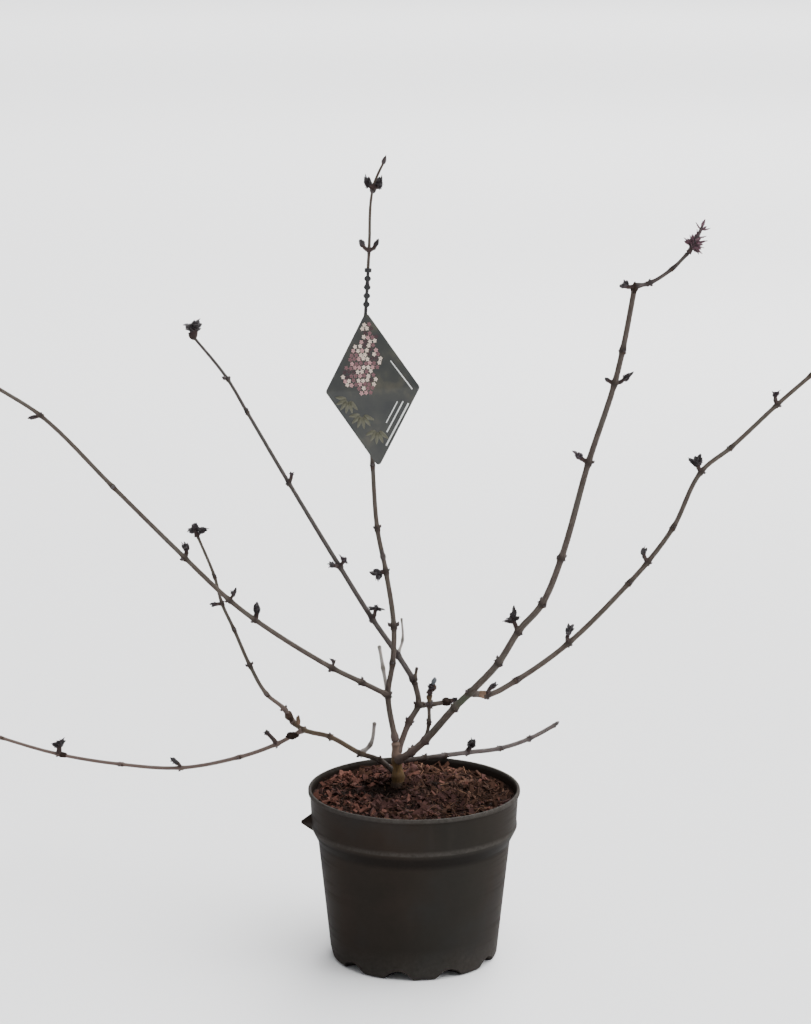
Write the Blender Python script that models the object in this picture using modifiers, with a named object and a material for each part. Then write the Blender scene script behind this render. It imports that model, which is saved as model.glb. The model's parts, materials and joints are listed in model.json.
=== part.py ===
# A young many-stemmed elder shrub, nearly bare, in its nursery pot.
# Metres, +Z up. The origin is the centre of the pot's flat underside, and -Y is the front.

import math
import random

import bmesh
import bpy
from mathutils import Matrix, Vector
from mathutils.geometry import intersect_point_line
from mathutils.noise import noise

MM = 0.001
GAP = 0.3 * MM          # clearance wherever two pieces meet
WELD = 0.01 * MM        # merge distance on the axis of a turned shape
SEAM = 0.0005 * MM      # merge distance round a tube's end caps
FLAP = 0.001 * MM ** 2   # area of the largest loose flap
TURN_STEPS = 48         # facets round the pot and its compost
SHARP_ANGLE = 40        # degrees, past which an edge is not shaded smooth

# Pot: a three-litre injection-moulded container
POT_HEIGHT = 155 * MM
RIM_RADIUS = 95 * MM
LIP_HEIGHT = 3.6 * MM
LIP_OVERHANG = 1.6 * MM
BAND_FOOT_RADIUS = 92 * MM
BAND_FOOT_HEIGHT = 120.5 * MM
SHOULDER_RADIUS = 86 * MM
SHOULDER_HEIGHT = 108 * MM
BASE_RADIUS = 75 * MM
BASE_ROUND = 2.5 * MM
WALL = 1.6 * MM
FLOOR = 2.4 * MM
HEEL_RADIUS = 53 * MM   # where the floor starts to rise towards the wall, over the drain arches
HEEL_HEIGHT = 9 * MM
DRAIN_ARCHES = 10
DRAIN_ARCH_FIRST = 259  # in plan, from +X
DRAIN_ARCH_RADIUS = 16 * MM
DRAIN_ARCH_RISE = 7.5 * MM
DRAIN_ARCH_LENGTH = 50 * MM
DRAIN_ARCH_SLOPE = 21   # degrees, down towards the middle of the pot
LUG_ANGLE = 184         # in plan, from +X
LUG_HEIGHT = 124.8 * MM
LUG_LENGTH = 10 * MM
LUG_ROOT = 9 * MM
LUG_TIP = 1.5 * MM

# Compost: highest where the shrub comes out of it
COMPOST_LEVEL = 146.5 * MM
COMPOST_TILT = Vector((-0.012, 0.024))
COMPOST_BUMP = 1.6 * MM
COMPOST_BUMP_WIDTH = 26 * MM
COMPOST_RINGS = 6
CROWN_FOOT = Vector((-14.5, 28.4, 150)) * MM
CROWN_PAD = 20 * MM
CROWN_MOUND = 60 * MM

# Limbs: every internode is its length in mm and its rise in degrees, in the upright plane of
# the limb's heading (degrees in plan, from +X towards +Y). Girths are the radii in mm at the
# foot and at the tip, and springs is the limb and the node that it grows from.
LIMBS = {
    "crown": dict(
        springs=None, heading=180, girth=(4.7, 3.5),
        internodes=((7, 90), (14, 86), (5, 86), (14, 86))),
    "centre_stem": dict(
        springs=("crown", 4), heading=175, girth=(2.7, 1.1),
        internodes=((43, 81), (30, 98), (34, 92), (51, 82), (40, 79), (57, 86), (121, 87),
                    (40, 93), (30, 93), (55, 94), (26, 113))),
    "inner_stem": dict(
        springs=("crown", 3), heading=20, girth=(2.8, 2.5),
        internodes=((33, 68), (17, 60), (23, 99))),
    "upper_left_cane": dict(
        springs=("inner_stem", 3), heading=126, girth=(2.6, 1.4),
        internodes=((32, 36), (47, 33), (66, 37), (107, 38), (93, 39), (44, 39), (73, 29))),
    "long_left_cane": dict(
        springs=("centre_stem", 1), heading=212, girth=(2.4, 1.5),
        internodes=((32, 30), (35, 30), (95, 35), (32, 40), (60, 45), (95, 46), (92, 46),
                    (52, 35), (48, 39))),
    "low_left_base": dict(
        springs=("crown", 1), heading=125, girth=(2.4, 2.3),
        internodes=((29, 14), (32, -2), (51, 4), (47, -5), (17, 8))),
    "rising_left_cane": dict(
        springs=("low_left_base", 5), heading=205, girth=(2.1, 1.3),
        internodes=((18, 58), (25, 43), (34, 61), (40, 67), (29, 66), (28, 75), (43, 68))),
    "low_left_cane": dict(
        springs=("low_left_base", 4), heading=175, girth=(2.0, 1.5),
        internodes=((30, -30), (39, -21), (58, -12), (58, 2), (61, 8), (58, 15), (46, 18))),
    "right_cane": dict(
        springs=("crown", 2), heading=-56, girth=(3.4, 2.1),
        internodes=((28, 31), (27, 37), (61, 42), (30, 39), (55, 41), (43, 50), (45, 43),
                    (50, 60), (91, 68), (75, 65), (29, 71), (53, 75))),
    "right_shoot": dict(
        springs=("right_cane", 12), heading=15, girth=(1.6, 1.4),
        internodes=((12, 10), (22, 30), (17, 43))),
    "far_right_cane": dict(
        springs=("right_cane", 4), heading=22, girth=(2.5, 1.8),
        internodes=((16, -14), (30, 20), (57, 30), (76, 40), (25, 44), (38, 50), (55, 61),
                    (35, 34), (58, 38), (42, 36), (55, 37))),
    "low_right_cane": dict(
        springs=("crown", 2), heading=52, girth=(2.4, 2.0),
        internodes=((41, -10), (32, -9), (35, -9), (53, -9), (48, -2), (44, 5))),
    "upright_twig": dict(
        springs=("right_cane", 2), heading=120, girth=(1.6, 1.6),
        internodes=((19, 109), (16, 90), (11, 95))),
    "cross_twig": dict(
        springs=("inner_stem", 2), heading=8, girth=(2.2, 2.1),
        internodes=((11, 0), (19, 8))),
    "fork_spur": dict(
        springs=("centre_stem", 1), heading=115, girth=(1.8, 1.5),
        internodes=((25, 65), (21, 66))),
    "inner_spur": dict(
        springs=("inner_stem", 3), heading=40, girth=(1.5, 1.2),
        internodes=((13, 77),)),
    "pale_twig": dict(
        springs=("upper_left_cane", 1), heading=60, girth=(1.3, 0.9),
        internodes=((15, 54), (21, 95))),
    "old_snag": dict(
        springs=("low_left_base", 2), heading=10, girth=(1.9, 1.6),
        internodes=((12, 42), (22, 79))),
}
NODE_SWELL = 0.28       # how much thicker a limb is at a node
NODE_REACH = 3.5 * MM   # how far along the limb that swelling runs
LONG_INTERNODE = 70 * MM
SHORT_INTERNODE = 16 * MM
CROWN_FLARE = 1.8 * MM
CROWN_FLARE_REACH = 5 * MM

# Tufts of opening leaves: the limb and node, the way the tuft's stem points (heading, rise), its
# length in mm, and the leaves: how far round each points as seen from the front, in degrees from
# the right to the top, and its length in mm
TUFTS = {
    "leader_left": ("centre_stem", 10, 195, 40, 2,
        ((110, 11), (128, 8), (205, 5))),
    "leader_right": ("centre_stem", 10, 15, 40, 2,
        ((76, 11), (58, 8), (-35, 5))),
    "leader_arm_left": ("centre_stem", 9, 180, 58, 5,
        ((122, 9), (112, 8))),
    "leader_arm_right": ("centre_stem", 9, 0, 60, 5,
        ((62, 9), (72, 8))),
    "leader_low": ("centre_stem", 4, 185, -4, 2,
        ((178, 11), (205, 9), (232, 9), (262, 9))),
    "upper_left_up": ("upper_left_cane", 2, 40, 80, 8,
        ((174, 10), (4, 10), (140, 5))),
    "upper_left_back": ("upper_left_cane", 3, 190, 25, 3,
        ((172, 8), (140, 7), (200, 6))),
    "upper_left_fork": ("upper_left_cane", 3, 5, 62, 4,
        ((118, 9), (60, 5), (-35, 6))),
    "upper_left_high": ("upper_left_cane", 4, 20, 80, 6,
        ((100, 6), (60, 5))),
    "upper_left_end": ("upper_left_cane", 7, 60, 86, 8,
        ((66, 11), (160, 11), (172, 8))),
    "long_left_low": ("long_left_cane", 2, 150, 80, 3,
        ((145, 6), (20, 4))),
    "long_left_upright": ("long_left_cane", 3, 60, 82, 4,
        ((90, 10), (78, 8), (104, 8))),
    "long_left_cross": ("long_left_cane", 4, 5, 60, 3,
        ((68, 10), (130, 6), (100, 6))),
    "long_left_fork": ("long_left_cane", 5, 120, 80, 4,
        ((125, 10), (78, 10), (102, 9))),
    "long_left_bud": ("long_left_cane", 7, 175, -4, 3,
        ((184, 7), (196, 5))),
    "long_left_end": ("long_left_cane", 9, 200, 60, 6,
        ((150, 13), (75, 12), (110, 11), (25, 8))),
    "rising_left_bud": ("rising_left_cane", 5, 175, 0, 3,
        ((182, 8), (172, 5))),
    "rising_left_end": ("rising_left_cane", 7, 150, 72, 6,
        ((184, 10), (3, 13), (112, 5), (62, 5))),
    "low_left_stalk": ("low_left_cane", 1, 172, 46, 13,
        ((165, 6), (120, 6), (60, 4))),
    "low_left_wedge": ("low_left_cane", 3, 185, 36, 3,
        ((146, 11), (158, 9))),
    "low_left_tuft": ("low_left_cane", 5, 80, 78, 7,
        ((158, 9), (60, 10), (108, 7))),
    "low_left_end": ("low_left_cane", 7, 180, 48, 6,
        ((165, 12), (95, 12), (130, 10), (45, 8))),
    "right_star": ("right_cane", 6, 160, 74, 8,
        ((180, 11), (92, 13), (28, 8))),
    "right_side": ("right_cane", 9, 185, 46, 4,
        ((142, 10), (118, 8), (160, 7))),
    "right_bud": ("right_cane", 10, 180, 38, 2,
        ((142, 5), (160, 4))),
    "right_arm": ("right_cane", 10, 0, 40, 5,
        ((42, 12), (36, 10), (50, 9))),
    "right_top": ("right_cane", 12, 178, 30, 3,
        ((165, 9), (120, 7), (90, 5))),
    "right_shoot_end": ("right_shoot", 3, 20, 58, 6,
        ((128, 11), (-24, 11), (0, 11), (67, 24), (100, 10), (24, 14))),
    "far_right_low": ("far_right_cane", 1, -10, 48, 4,
        ((38, 11), (48, 9))),
    "far_right_spear": ("far_right_cane", 3, 0, 74, 6,
        ((84, 12), (68, 13), (54, 11))),
    "far_right_bud": ("far_right_cane", 5, 175, 78, 6,
        ((104, 10), (84, 9))),
    "far_right_star": ("far_right_cane", 7, 120, 82, 5,
        ((150, 12), (84, 14), (30, 7), (105, 9))),
    "far_right_high": ("far_right_cane", 9, 90, 84, 5,
        ((62, 10), (116, 7), (88, 6))),
    "far_right_end": ("far_right_cane", 11, 20, 55, 6,
        ((20, 12), (85, 12), (50, 11), (130, 8))),
    "low_right_spear": ("low_right_cane", 3, 0, 62, 4,
        ((64, 11), (78, 9), (49, 8))),
    "upright_twig_end": ("upright_twig", 3, 10, 66, 4,
        ((75, 9), (112, 6), (35, 6))),
    "cross_twig_end": ("cross_twig", 2, 5, 25, 2,
        ((30, 6), (350, 5))),
}
TUFT_SEED = 11
TUFT_STEM_RADIUS = 1.1 * MM
END_LEAN = 0.75         # cosine of the most that a tuft on a tip leans from its limb
LEAF_WIDTH = 0.46       # of its length
LEAF_WIDEST = 0.42      # of its length, from the foot
LEAF_THICKNESS = 0.075  # of its length, at the midrib
LEAF_FOLD = 0.30        # how far the edges lift, of the leaf's width
LEAF_SUNK = 0.16        # of its length, inside the tuft's stem
LEAF_LEAN = (10, 28)    # degrees, by turns to the front and to the back
DEEP_LEAN = 58          # of the one more leaf of a full tuft, to the front or the back
DEEP_SHARE = 0.8        # its length, of the tuft's longest leaf
FULL_TUFT = 3           # leaves of a tuft that has one more

# Hang tag: a card on a barbed strap, whose collar goes round the centre stem
TAG_STEM = "centre_stem"
CARD_TOP = (7, 0.41)    # the node below the card's top corner, and how far on from it
COLLAR_PLACE = (8, 0.47)
CARD_WIDTH = 92 * MM
CARD_HEIGHT = 137 * MM
CARD_CORNER = 3 * MM
CARD_TURN = 25          # degrees round the upright, the right-hand corner to the front
CARD_TILT = 6.5         # degrees in its own plane, the foot to the right
CARD_PITCH = 3          # degrees, the foot to the front
TAG_THICKNESS = 0.8 * MM
TAG_STAND_OFF = 2.6 * MM
STRAP_WIDTH = 1.8 * MM
STRAP_OVERLAP = 5 * MM
STRAP_BARBS = 4
STRAP_BARB = 1.6 * MM
STRAP_BARB_LENGTH = 3.8 * MM
COLLAR_INSIDE = 1.9 * MM
COLLAR_OUTSIDE = 3.1 * MM
COLLAR_HEIGHT = 3.4 * MM

# Colour, roughness and metallic value of each finish
FINISHES = {
    "pot_plastic": ((0.027, 0.024, 0.023), 0.42, 0.0),
    "compost": ((0.055, 0.028, 0.018), 0.95, 0.0),
    "stem_bark": ((0.155, 0.085, 0.04), 0.8, 0.0),
    "cane_bark": ((0.20, 0.145, 0.115), 0.72, 0.0),
    "grey_bark": ((0.30, 0.28, 0.25), 0.85, 0.0),
    "tuft_leaf": ((0.035, 0.02, 0.032), 0.6, 0.0),
    "tag_card": ((0.09, 0.10, 0.085), 0.35, 0.0),
}
GREY_LIMBS = ("fork_spur", "pale_twig", "old_snag")


def clear_scene():
    for item in list(bpy.data.objects):
        bpy.data.objects.remove(item, do_unlink=True)


def make_collection(name):
    group = bpy.data.collections.new(name)
    bpy.context.scene.collection.children.link(group)
    return group


def make_finish(name):
    colour, roughness, metallic = FINISHES[name]
    finish = bpy.data.materials.new(name)
    finish.use_nodes = True
    shader = finish.node_tree.nodes["Principled BSDF"]
    shader.inputs["Base Color"].default_value = (*colour, 1.0)
    shader.inputs["Roughness"].default_value = roughness
    shader.inputs["Metallic"].default_value = metallic
    return finish


def add_object(name, data, group):
    item = bpy.data.objects.new(name, data)
    group.objects.link(item)
    return item


def add_shape(name, shape, group):
    mesh = bpy.data.meshes.new(name)
    shape.to_mesh(mesh)
    shape.free()
    return add_object(name, mesh, group)


# Removes all but the largest of a shape's separate bodies
def drop_scraps(shape):
    bodies = []
    waiting = set(shape.verts)
    while waiting:
        body = {waiting.pop()}
        edge = set(body)
        while edge:
            edge = {link.other_vert(corner) for corner in edge for link in corner.link_edges} - body
            body |= edge
        waiting -= body
        bodies.append(body)
    bodies.sort(key=len)
    scraps = [corner for body in bodies[:-1] for corner in body]
    bmesh.ops.delete(shape, geom=scraps, context="VERTS")


# Removes the tiny loose flaps that welding can leave, from their open edges inwards
def drop_flaps(shape):
    while True:
        flaps = [face for face in shape.faces
                 if face.calc_area() < FLAP and any(edge.is_boundary for edge in face.edges)]
        if not flaps:
            return
        bmesh.ops.delete(shape, geom=flaps, context="FACES")


# The evaluated shape of an object as one welded mesh, in place of the object
def make_plain(item, group):
    bpy.context.view_layer.update()
    source = item.evaluated_get(bpy.context.evaluated_depsgraph_get())
    mesh = bpy.data.meshes.new_from_object(source)
    mesh.transform(item.matrix_world)
    shape = bmesh.new()
    shape.from_mesh(mesh)
    bmesh.ops.remove_doubles(shape, verts=shape.verts, dist=SEAM)
    drop_scraps(shape)
    drop_flaps(shape)
    name = item.name
    bpy.data.meshes.remove(mesh)
    bpy.data.objects.remove(item, do_unlink=True)
    return add_shape(name, shape, group)


def dress(item, finish):
    item.data.materials.clear()
    item.data.materials.append(finish)
    item.data.shade_smooth()
    item.data.set_sharp_from_angle(angle=math.radians(SHARP_ANGLE))


def as_cutter(item):
    item.hide_render = True
    item.display_type = "WIRE"
    return item


def add_boolean(item, operation, other):
    change = item.modifiers.new(other.name, "BOOLEAN")
    change.operation = operation
    change.object = other


# One solid of an object and all the pieces of a collection, which is then removed
def join_pieces(item, pieces, group):
    join = item.modifiers.new("join", "BOOLEAN")
    join.operation = "UNION"
    join.operand_type = "COLLECTION"
    join.collection = pieces
    join.solver = "MANIFOLD"
    item = make_plain(item, group)
    for piece in list(pieces.objects):
        bpy.data.objects.remove(piece, do_unlink=True)
    bpy.data.collections.remove(pieces)
    return item


# A turned shape from a profile of radius and height that runs down its outer side
def turn_profile(name, profile, group, steps=TURN_STEPS, closed=False):
    shape = bmesh.new()
    points = [shape.verts.new((radius, 0, height)) for radius, height in profile]
    for start, end in zip(points, points[1:]):
        shape.edges.new((start, end))
    if closed:
        shape.edges.new((points[-1], points[0]))
    item = add_shape(name, shape, group)
    screw = item.modifiers.new("turn", "SCREW")
    screw.steps = steps
    screw.render_steps = steps
    screw.use_merge_vertices = True
    screw.merge_threshold = WELD
    return item


# Pot

# Radius and height up the inside of the pot, from the floor's edge to the lip
def inner_wall():
    heel = BASE_RADIUS + (SHOULDER_RADIUS - BASE_RADIUS) * HEEL_HEIGHT / SHOULDER_HEIGHT
    return [
        (HEEL_RADIUS, FLOOR),
        (heel - WALL, HEEL_HEIGHT),
        (SHOULDER_RADIUS - WALL, SHOULDER_HEIGHT + WALL / 2),
        (BAND_FOOT_RADIUS - WALL, BAND_FOOT_HEIGHT + WALL / 2),
        (RIM_RADIUS - LIP_OVERHANG - WALL, POT_HEIGHT - LIP_HEIGHT / 2),
    ]


def pot_profile():
    inside = [(0, FLOOR)] + inner_wall()
    inside.append((inside[-1][0] + WALL / 3, POT_HEIGHT))
    lip = [
        (RIM_RADIUS - LIP_OVERHANG / 3, POT_HEIGHT),
        (RIM_RADIUS, POT_HEIGHT - LIP_HEIGHT / 4),
        (RIM_RADIUS, POT_HEIGHT - LIP_HEIGHT * 3 / 4),
        (RIM_RADIUS - LIP_OVERHANG, POT_HEIGHT - LIP_HEIGHT),
    ]
    outside = [
        (BAND_FOOT_RADIUS, BAND_FOOT_HEIGHT),
        (SHOULDER_RADIUS, SHOULDER_HEIGHT),
    ]
    corner = []
    for degrees in (0, 45, 90):
        angle = math.radians(degrees)
        corner.append((BASE_RADIUS - BASE_ROUND * (1 - math.cos(angle)),
                       BASE_ROUND * (1 - math.sin(angle))))
    return inside + lip + outside + corner + [(0, 0)]


# A cone or cylinder along its local X, which place turns and moves
def lying_cone(name, sides, root, tip, length, place, group):
    shape = bmesh.new()
    lie_down = Matrix.Rotation(math.pi / 2, 4, "Y")
    bmesh.ops.create_cone(
        shape, cap_ends=True, segments=sides, radius1=root, radius2=tip, depth=length,
        matrix=place @ lie_down)
    return as_cutter(add_shape(name, shape, group))


def make_pot(group, cutter_group):
    pot = turn_profile("pot", pot_profile(), group)
    for index in range(DRAIN_ARCHES):
        turn = Matrix.Rotation(math.radians(DRAIN_ARCH_FIRST + 360 * index / DRAIN_ARCHES), 4, "Z")
        place = Matrix.Translation((BASE_RADIUS, 0, DRAIN_ARCH_RISE - DRAIN_ARCH_RADIUS))
        tilt = Matrix.Rotation(math.radians(-DRAIN_ARCH_SLOPE), 4, "Y")
        arch = lying_cone(f"drain_arch_{index}", 18, DRAIN_ARCH_RADIUS, DRAIN_ARCH_RADIUS,
                          DRAIN_ARCH_LENGTH, turn @ place @ tilt, cutter_group)
        add_boolean(pot, "DIFFERENCE", arch)
    up_the_band = (LUG_HEIGHT - BAND_FOOT_HEIGHT) / (POT_HEIGHT - BAND_FOOT_HEIGHT)
    band_radius = BAND_FOOT_RADIUS + up_the_band * (RIM_RADIUS - LIP_OVERHANG - BAND_FOOT_RADIUS)
    turn = Matrix.Rotation(math.radians(LUG_ANGLE), 4, "Z")
    place = Matrix.Translation((band_radius - WALL / 2 + LUG_LENGTH / 2, 0, LUG_HEIGHT))
    lug = lying_cone("lug", 4, LUG_ROOT, LUG_TIP, LUG_LENGTH, turn @ place, cutter_group)
    add_boolean(pot, "UNION", lug)
    return pot


# Compost

def compost_height(x, y):
    level = COMPOST_LEVEL + COMPOST_TILT.dot(Vector((x, y)))
    level += COMPOST_BUMP * noise(Vector((x, y, 0)) / COMPOST_BUMP_WIDTH)
    away = (Vector((x, y)) - CROWN_FOOT.xy).length
    mound = max(0, min(1, (CROWN_MOUND - away) / (CROWN_MOUND - CROWN_PAD)))
    mound = mound * mound * (3 - 2 * mound)
    top = CROWN_FOOT.z - GAP
    return min(top, level + mound * (top - level))


def make_compost(group):
    wall = [(radius - GAP * 4 / 3, height) for radius, height in inner_wall()]
    wall[:2] = [(radius, height + GAP) for radius, height in wall[:2]]
    lowest = COMPOST_LEVEL - 4 * MM
    rise = (lowest - wall[-2][1]) / (wall[-1][1] - wall[-2][1])
    edge = wall[-2][0] + rise * (wall[-1][0] - wall[-2][0])
    rings = [(edge * step / COMPOST_RINGS, COMPOST_LEVEL) for step in range(COMPOST_RINGS + 1)]
    profile = rings + wall[-2::-1] + [(0, FLOOR + GAP)]
    compost = make_plain(turn_profile("compost", profile, group), group)
    for corner in compost.data.vertices:
        if corner.co.z > COMPOST_LEVEL - GAP:
            corner.co.z = compost_height(corner.co.x, corner.co.y)
    return compost


# Limbs

def direction(heading, rise):
    heading = math.radians(heading)
    rise = math.radians(rise)
    flat = math.cos(rise)
    return Vector((flat * math.cos(heading), flat * math.sin(heading), math.sin(rise)))


def limb_nodes(name):
    limb = LIMBS[name]
    nodes = [CROWN_FOOT.copy()]
    if limb["springs"]:
        parent, index = limb["springs"]
        nodes = [limb_nodes(parent)[index]]
    for length, rise in limb["internodes"]:
        nodes.append(nodes[-1] + length * MM * direction(limb["heading"], rise))
    return nodes


def node_directions(nodes):
    steps = [(end - start).normalized() for start, end in zip(nodes, nodes[1:])]
    turns = [(before + after).normalized() for before, after in zip(steps, steps[1:])]
    return [steps[0]] + turns + [steps[-1]]


# A point of the smooth curve between two nodes, which leaves and arrives in their directions
def between(start, end, leave, arrive, part):
    length = (end - start).length
    square, cube = part ** 2, part ** 3
    return ((2 * cube - 3 * square + 1) * start + (cube - 2 * square + part) * length * leave
            + (3 * square - 2 * cube) * end + (cube - square) * length * arrive)


def limb_radius(name, travelled, total, to_node):
    foot, tip = (radius * MM for radius in LIMBS[name]["girth"])
    radius = foot + (tip - foot) * travelled / total
    radius *= 1 + NODE_SWELL * math.exp(-(to_node / NODE_REACH) ** 2)
    if name == "crown":
        radius += CROWN_FLARE * math.exp(-travelled / CROWN_FLARE_REACH)
    return radius


# Points and radii along a limb: at each node, beside its swelling and between the nodes
def limb_samples(name):
    nodes = limb_nodes(name)
    ways = node_directions(nodes)
    lengths = [(end - start).length for start, end in zip(nodes, nodes[1:])]
    samples = []
    for index, length in enumerate(lengths):
        beside = min(1.4 * NODE_REACH / length, 0.3)
        parts = [0, beside, 0.5, 1 - beside]
        if length > LONG_INTERNODE:
            parts = [0, beside, 1 / 3, 2 / 3, 1 - beside]
        if length < SHORT_INTERNODE:
            parts = [0, 0.5]
        for part in parts:
            point = between(nodes[index], nodes[index + 1], ways[index], ways[index + 1], part)
            travelled = sum(lengths[:index]) + part * length
            to_node = min(part, 1 - part) * length
            samples.append((point, limb_radius(name, travelled, sum(lengths), to_node)))
    samples.append((nodes[-1], limb_radius(name, sum(lengths), sum(lengths), 0)))
    return samples


def make_tube(name, samples, group):
    thickest = max(radius for point, radius in samples)
    curve = bpy.data.curves.new(name, "CURVE")
    curve.dimensions = "3D"
    curve.bevel_depth = thickest
    curve.bevel_resolution = 2
    curve.use_fill_caps = True
    spline = curve.splines.new("POLY")
    spline.points.add(len(samples) - 1)
    for place, (point, radius) in zip(spline.points, samples):
        place.co = (*point, 1)
        place.radius = radius / thickest
    return make_plain(add_object(name, curve, group), group)


# The same limb, thicker and longer by the clearance, which cuts the foot of what it carries
def make_clearance(name, cutter_group):
    samples = [(point, radius + GAP) for point, radius in limb_samples(name)]
    for end, inner in ((0, 1), (-1, -2)):
        outward = (samples[end][0] - samples[inner][0]).normalized()
        samples[end] = (samples[end][0] + GAP * outward, samples[end][1])
    return as_cutter(make_tube(name + "_clearance", samples, cutter_group))


def make_limbs(group, cutter_group):
    limbs = {}
    clearances = {name: make_clearance(name, cutter_group) for name in LIMBS}
    for name, limb in LIMBS.items():
        limbs[name] = make_tube(name, limb_samples(name), group)
        if not limb["springs"]:
            continue
        elders = [other for other in limbs
                  if other != name and LIMBS[other]["springs"] == limb["springs"]]
        for host in [limb["springs"][0]] + elders:
            add_boolean(limbs[name], "DIFFERENCE", clearances[host])
        limbs[name] = make_plain(limbs[name], group)
    return limbs


# Tufts

# Where a tuft's stem starts: clear of the limb's skin at a node, or of the end of its tip
def tuft_foot(limb_name, index, way):
    nodes = limb_nodes(limb_name)
    along = node_directions(nodes)[index]
    at_tip = index == len(nodes) - 1
    if at_tip and way.dot(along) > END_LEAN:
        lean = way.cross(along).length
        return nodes[index] + along * (GAP + TUFT_STEM_RADIUS * lean)
    outward = (way - way.dot(along) * along).normalized()
    lengths = [(end - start).length for start, end in zip(nodes, nodes[1:])]
    radius = limb_radius(limb_name, sum(lengths[:index]), sum(lengths), 0)
    lean = way.cross(outward).length
    foot = nodes[index] + outward * (radius + GAP + TUFT_STEM_RADIUS * lean)
    return foot - along * (2 * TUFT_STEM_RADIUS if at_tip else 0)


def clear_of_limbs(points, limb_lines):
    for point in points:
        for start, end, radius in limb_lines:
            nearest, part = intersect_point_line(point, start, end)
            nearest = start.lerp(end, max(0, min(1, part)))
            if (point - nearest).length < radius + GAP:
                return False
    return True


# A folded blade of eight faces along its local X, its foot behind the origin
def make_leaf(name, length, place, group):
    shape = bmesh.new()
    bmesh.ops.create_uvsphere(shape, u_segments=4, v_segments=2, radius=0.5)
    for corner in shape.verts:
        along = corner.co.x + 0.5
        if abs(corner.co.x) < 0.25:
            along = LEAF_WIDEST
        side = corner.co.y * LEAF_WIDTH
        thick = corner.co.z * LEAF_THICKNESS
        corner.co = length * Vector((along - LEAF_SUNK, side, thick + LEAF_FOLD * abs(side)))
    shape.transform(place)
    return add_shape(name, shape, group)


# The ways of a tuft's leaves: those of the table, leaning by turns, and one more of a full tuft
def leaf_ways(recipe, number, chance):
    heading, rise, leaves = recipe[2], recipe[3], recipe[5]
    side = 1 if number % 2 else -1
    ways = []
    for angle, length in leaves:
        ways.append((angle, side * chance.uniform(*LEAF_LEAN), length))
        side = -side
    if len(leaves) >= FULL_TUFT:
        way = direction(heading, rise)
        angle = math.degrees(math.atan2(way.z, way.x)) + chance.uniform(-15, 15)
        ways.append((angle, side * DEEP_LEAN, DEEP_SHARE * max(length for angle, length in leaves)))
    placed = []
    for angle, lean, length in ways:
        turn, lean = math.radians(angle), math.radians(lean)
        way = Vector((math.cos(lean) * math.cos(turn), math.sin(lean), math.cos(lean) * math.sin(turn)))
        placed.append((way, length * MM))
    return placed


# A leaf's place: its foot, its way along local X, its upper face towards the tuft's stem
def leaf_place(foot, way, stem_way):
    upward = stem_way - stem_way.dot(way) * way
    if upward.length < 0.1:
        upward = Vector((0, -1, 0)) + way.y * way
    upward.normalize()
    turn = Matrix((way, upward.cross(way), upward)).transposed().to_4x4()
    return Matrix.Translation(foot) @ turn


def make_tuft(name, recipe, number, chance, limb_lines, group):
    limb_name, index, heading, rise, stem_length, leaves = recipe
    stem_length *= MM
    way = direction(heading, rise)
    foot = tuft_foot(limb_name, index, way)
    upright = way.to_track_quat("Z", "Y").to_matrix().to_4x4()
    shape = bmesh.new()
    bmesh.ops.create_cone(
        shape, cap_ends=True, segments=3, radius1=TUFT_STEM_RADIUS,
        radius2=0.8 * TUFT_STEM_RADIUS, depth=stem_length,
        matrix=Matrix.Translation(foot + way * stem_length / 2) @ upright)
    tuft = add_shape("tuft_" + name, shape, group)
    blades = make_collection("blades")
    for leaf, (leaf_way, length) in enumerate(leaf_ways(recipe, number, chance)):
        reach = stem_length * (0.78 + 0.06 * (leaf // 2))
        place = leaf_place(foot + way * reach, leaf_way, way)
        half_width = LEAF_WIDTH * length / 2
        corners = [(length * (1 - LEAF_SUNK), 0, 0)]
        corners += [(length * LEAF_WIDEST, side, 0) for side in (-half_width, half_width)]
        if clear_of_limbs([place @ Vector(corner) for corner in corners], limb_lines):
            make_leaf(f"blade_{leaf}", length, place, blades)
        else:
            print("left out for want of room:", name, leaf)
    return join_pieces(tuft, blades, group)


def make_tufts(group):
    limb_lines = []
    for name in LIMBS:
        samples = limb_samples(name)
        for (start, radius), (end, end_radius) in zip(samples, samples[1:]):
            limb_lines.append((start, end, max(radius, end_radius)))
    chance = random.Random(TUFT_SEED)
    return [make_tuft(name, recipe, number, chance, limb_lines, group)
            for number, (name, recipe) in enumerate(TUFTS.items())]


# Hang tag

# The card's outline in its own plane, its top corner at (0, 0), every corner an arc
def card_outline():
    middle = Vector((0, -CARD_HEIGHT / 2))
    corners = [(0, 0), (-CARD_WIDTH / 2, middle.y), (0, -CARD_HEIGHT), (CARD_WIDTH / 2, middle.y)]
    outline = []
    for corner in corners:
        outward = (Vector(corner) - middle).normalized()
        half_angle = math.atan2(CARD_WIDTH, CARD_HEIGHT)
        if abs(outward.x) > 0.5:
            half_angle = math.pi / 2 - half_angle
        centre = Vector(corner) - outward * CARD_CORNER / math.sin(half_angle)
        facing = math.atan2(outward.y, outward.x)
        for part in (-1, 0, 1):
            angle = facing + part * (math.pi / 2 - half_angle)
            outline.append(centre + CARD_CORNER * Vector((math.cos(angle), math.sin(angle))))
    return outline


# The strap's outline in its own plane, its foot at (0, 0), with pairs of barbs up its edges
def strap_outline(length):
    half = STRAP_WIDTH / 2
    edge = [(half, 0)]
    for number in range(STRAP_BARBS):
        height = STRAP_OVERLAP + (length - STRAP_OVERLAP) * (number + 0.5) / (STRAP_BARBS + 1)
        edge += [(half, height), (half + STRAP_BARB, height + STRAP_BARB_LENGTH / 3),
                 (half + STRAP_BARB, height + STRAP_BARB_LENGTH * 2 / 3),
                 (half, height + STRAP_BARB_LENGTH)]
    edge.append((half, length))
    return edge + [(-x, y) for x, y in reversed(edge)]


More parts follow.
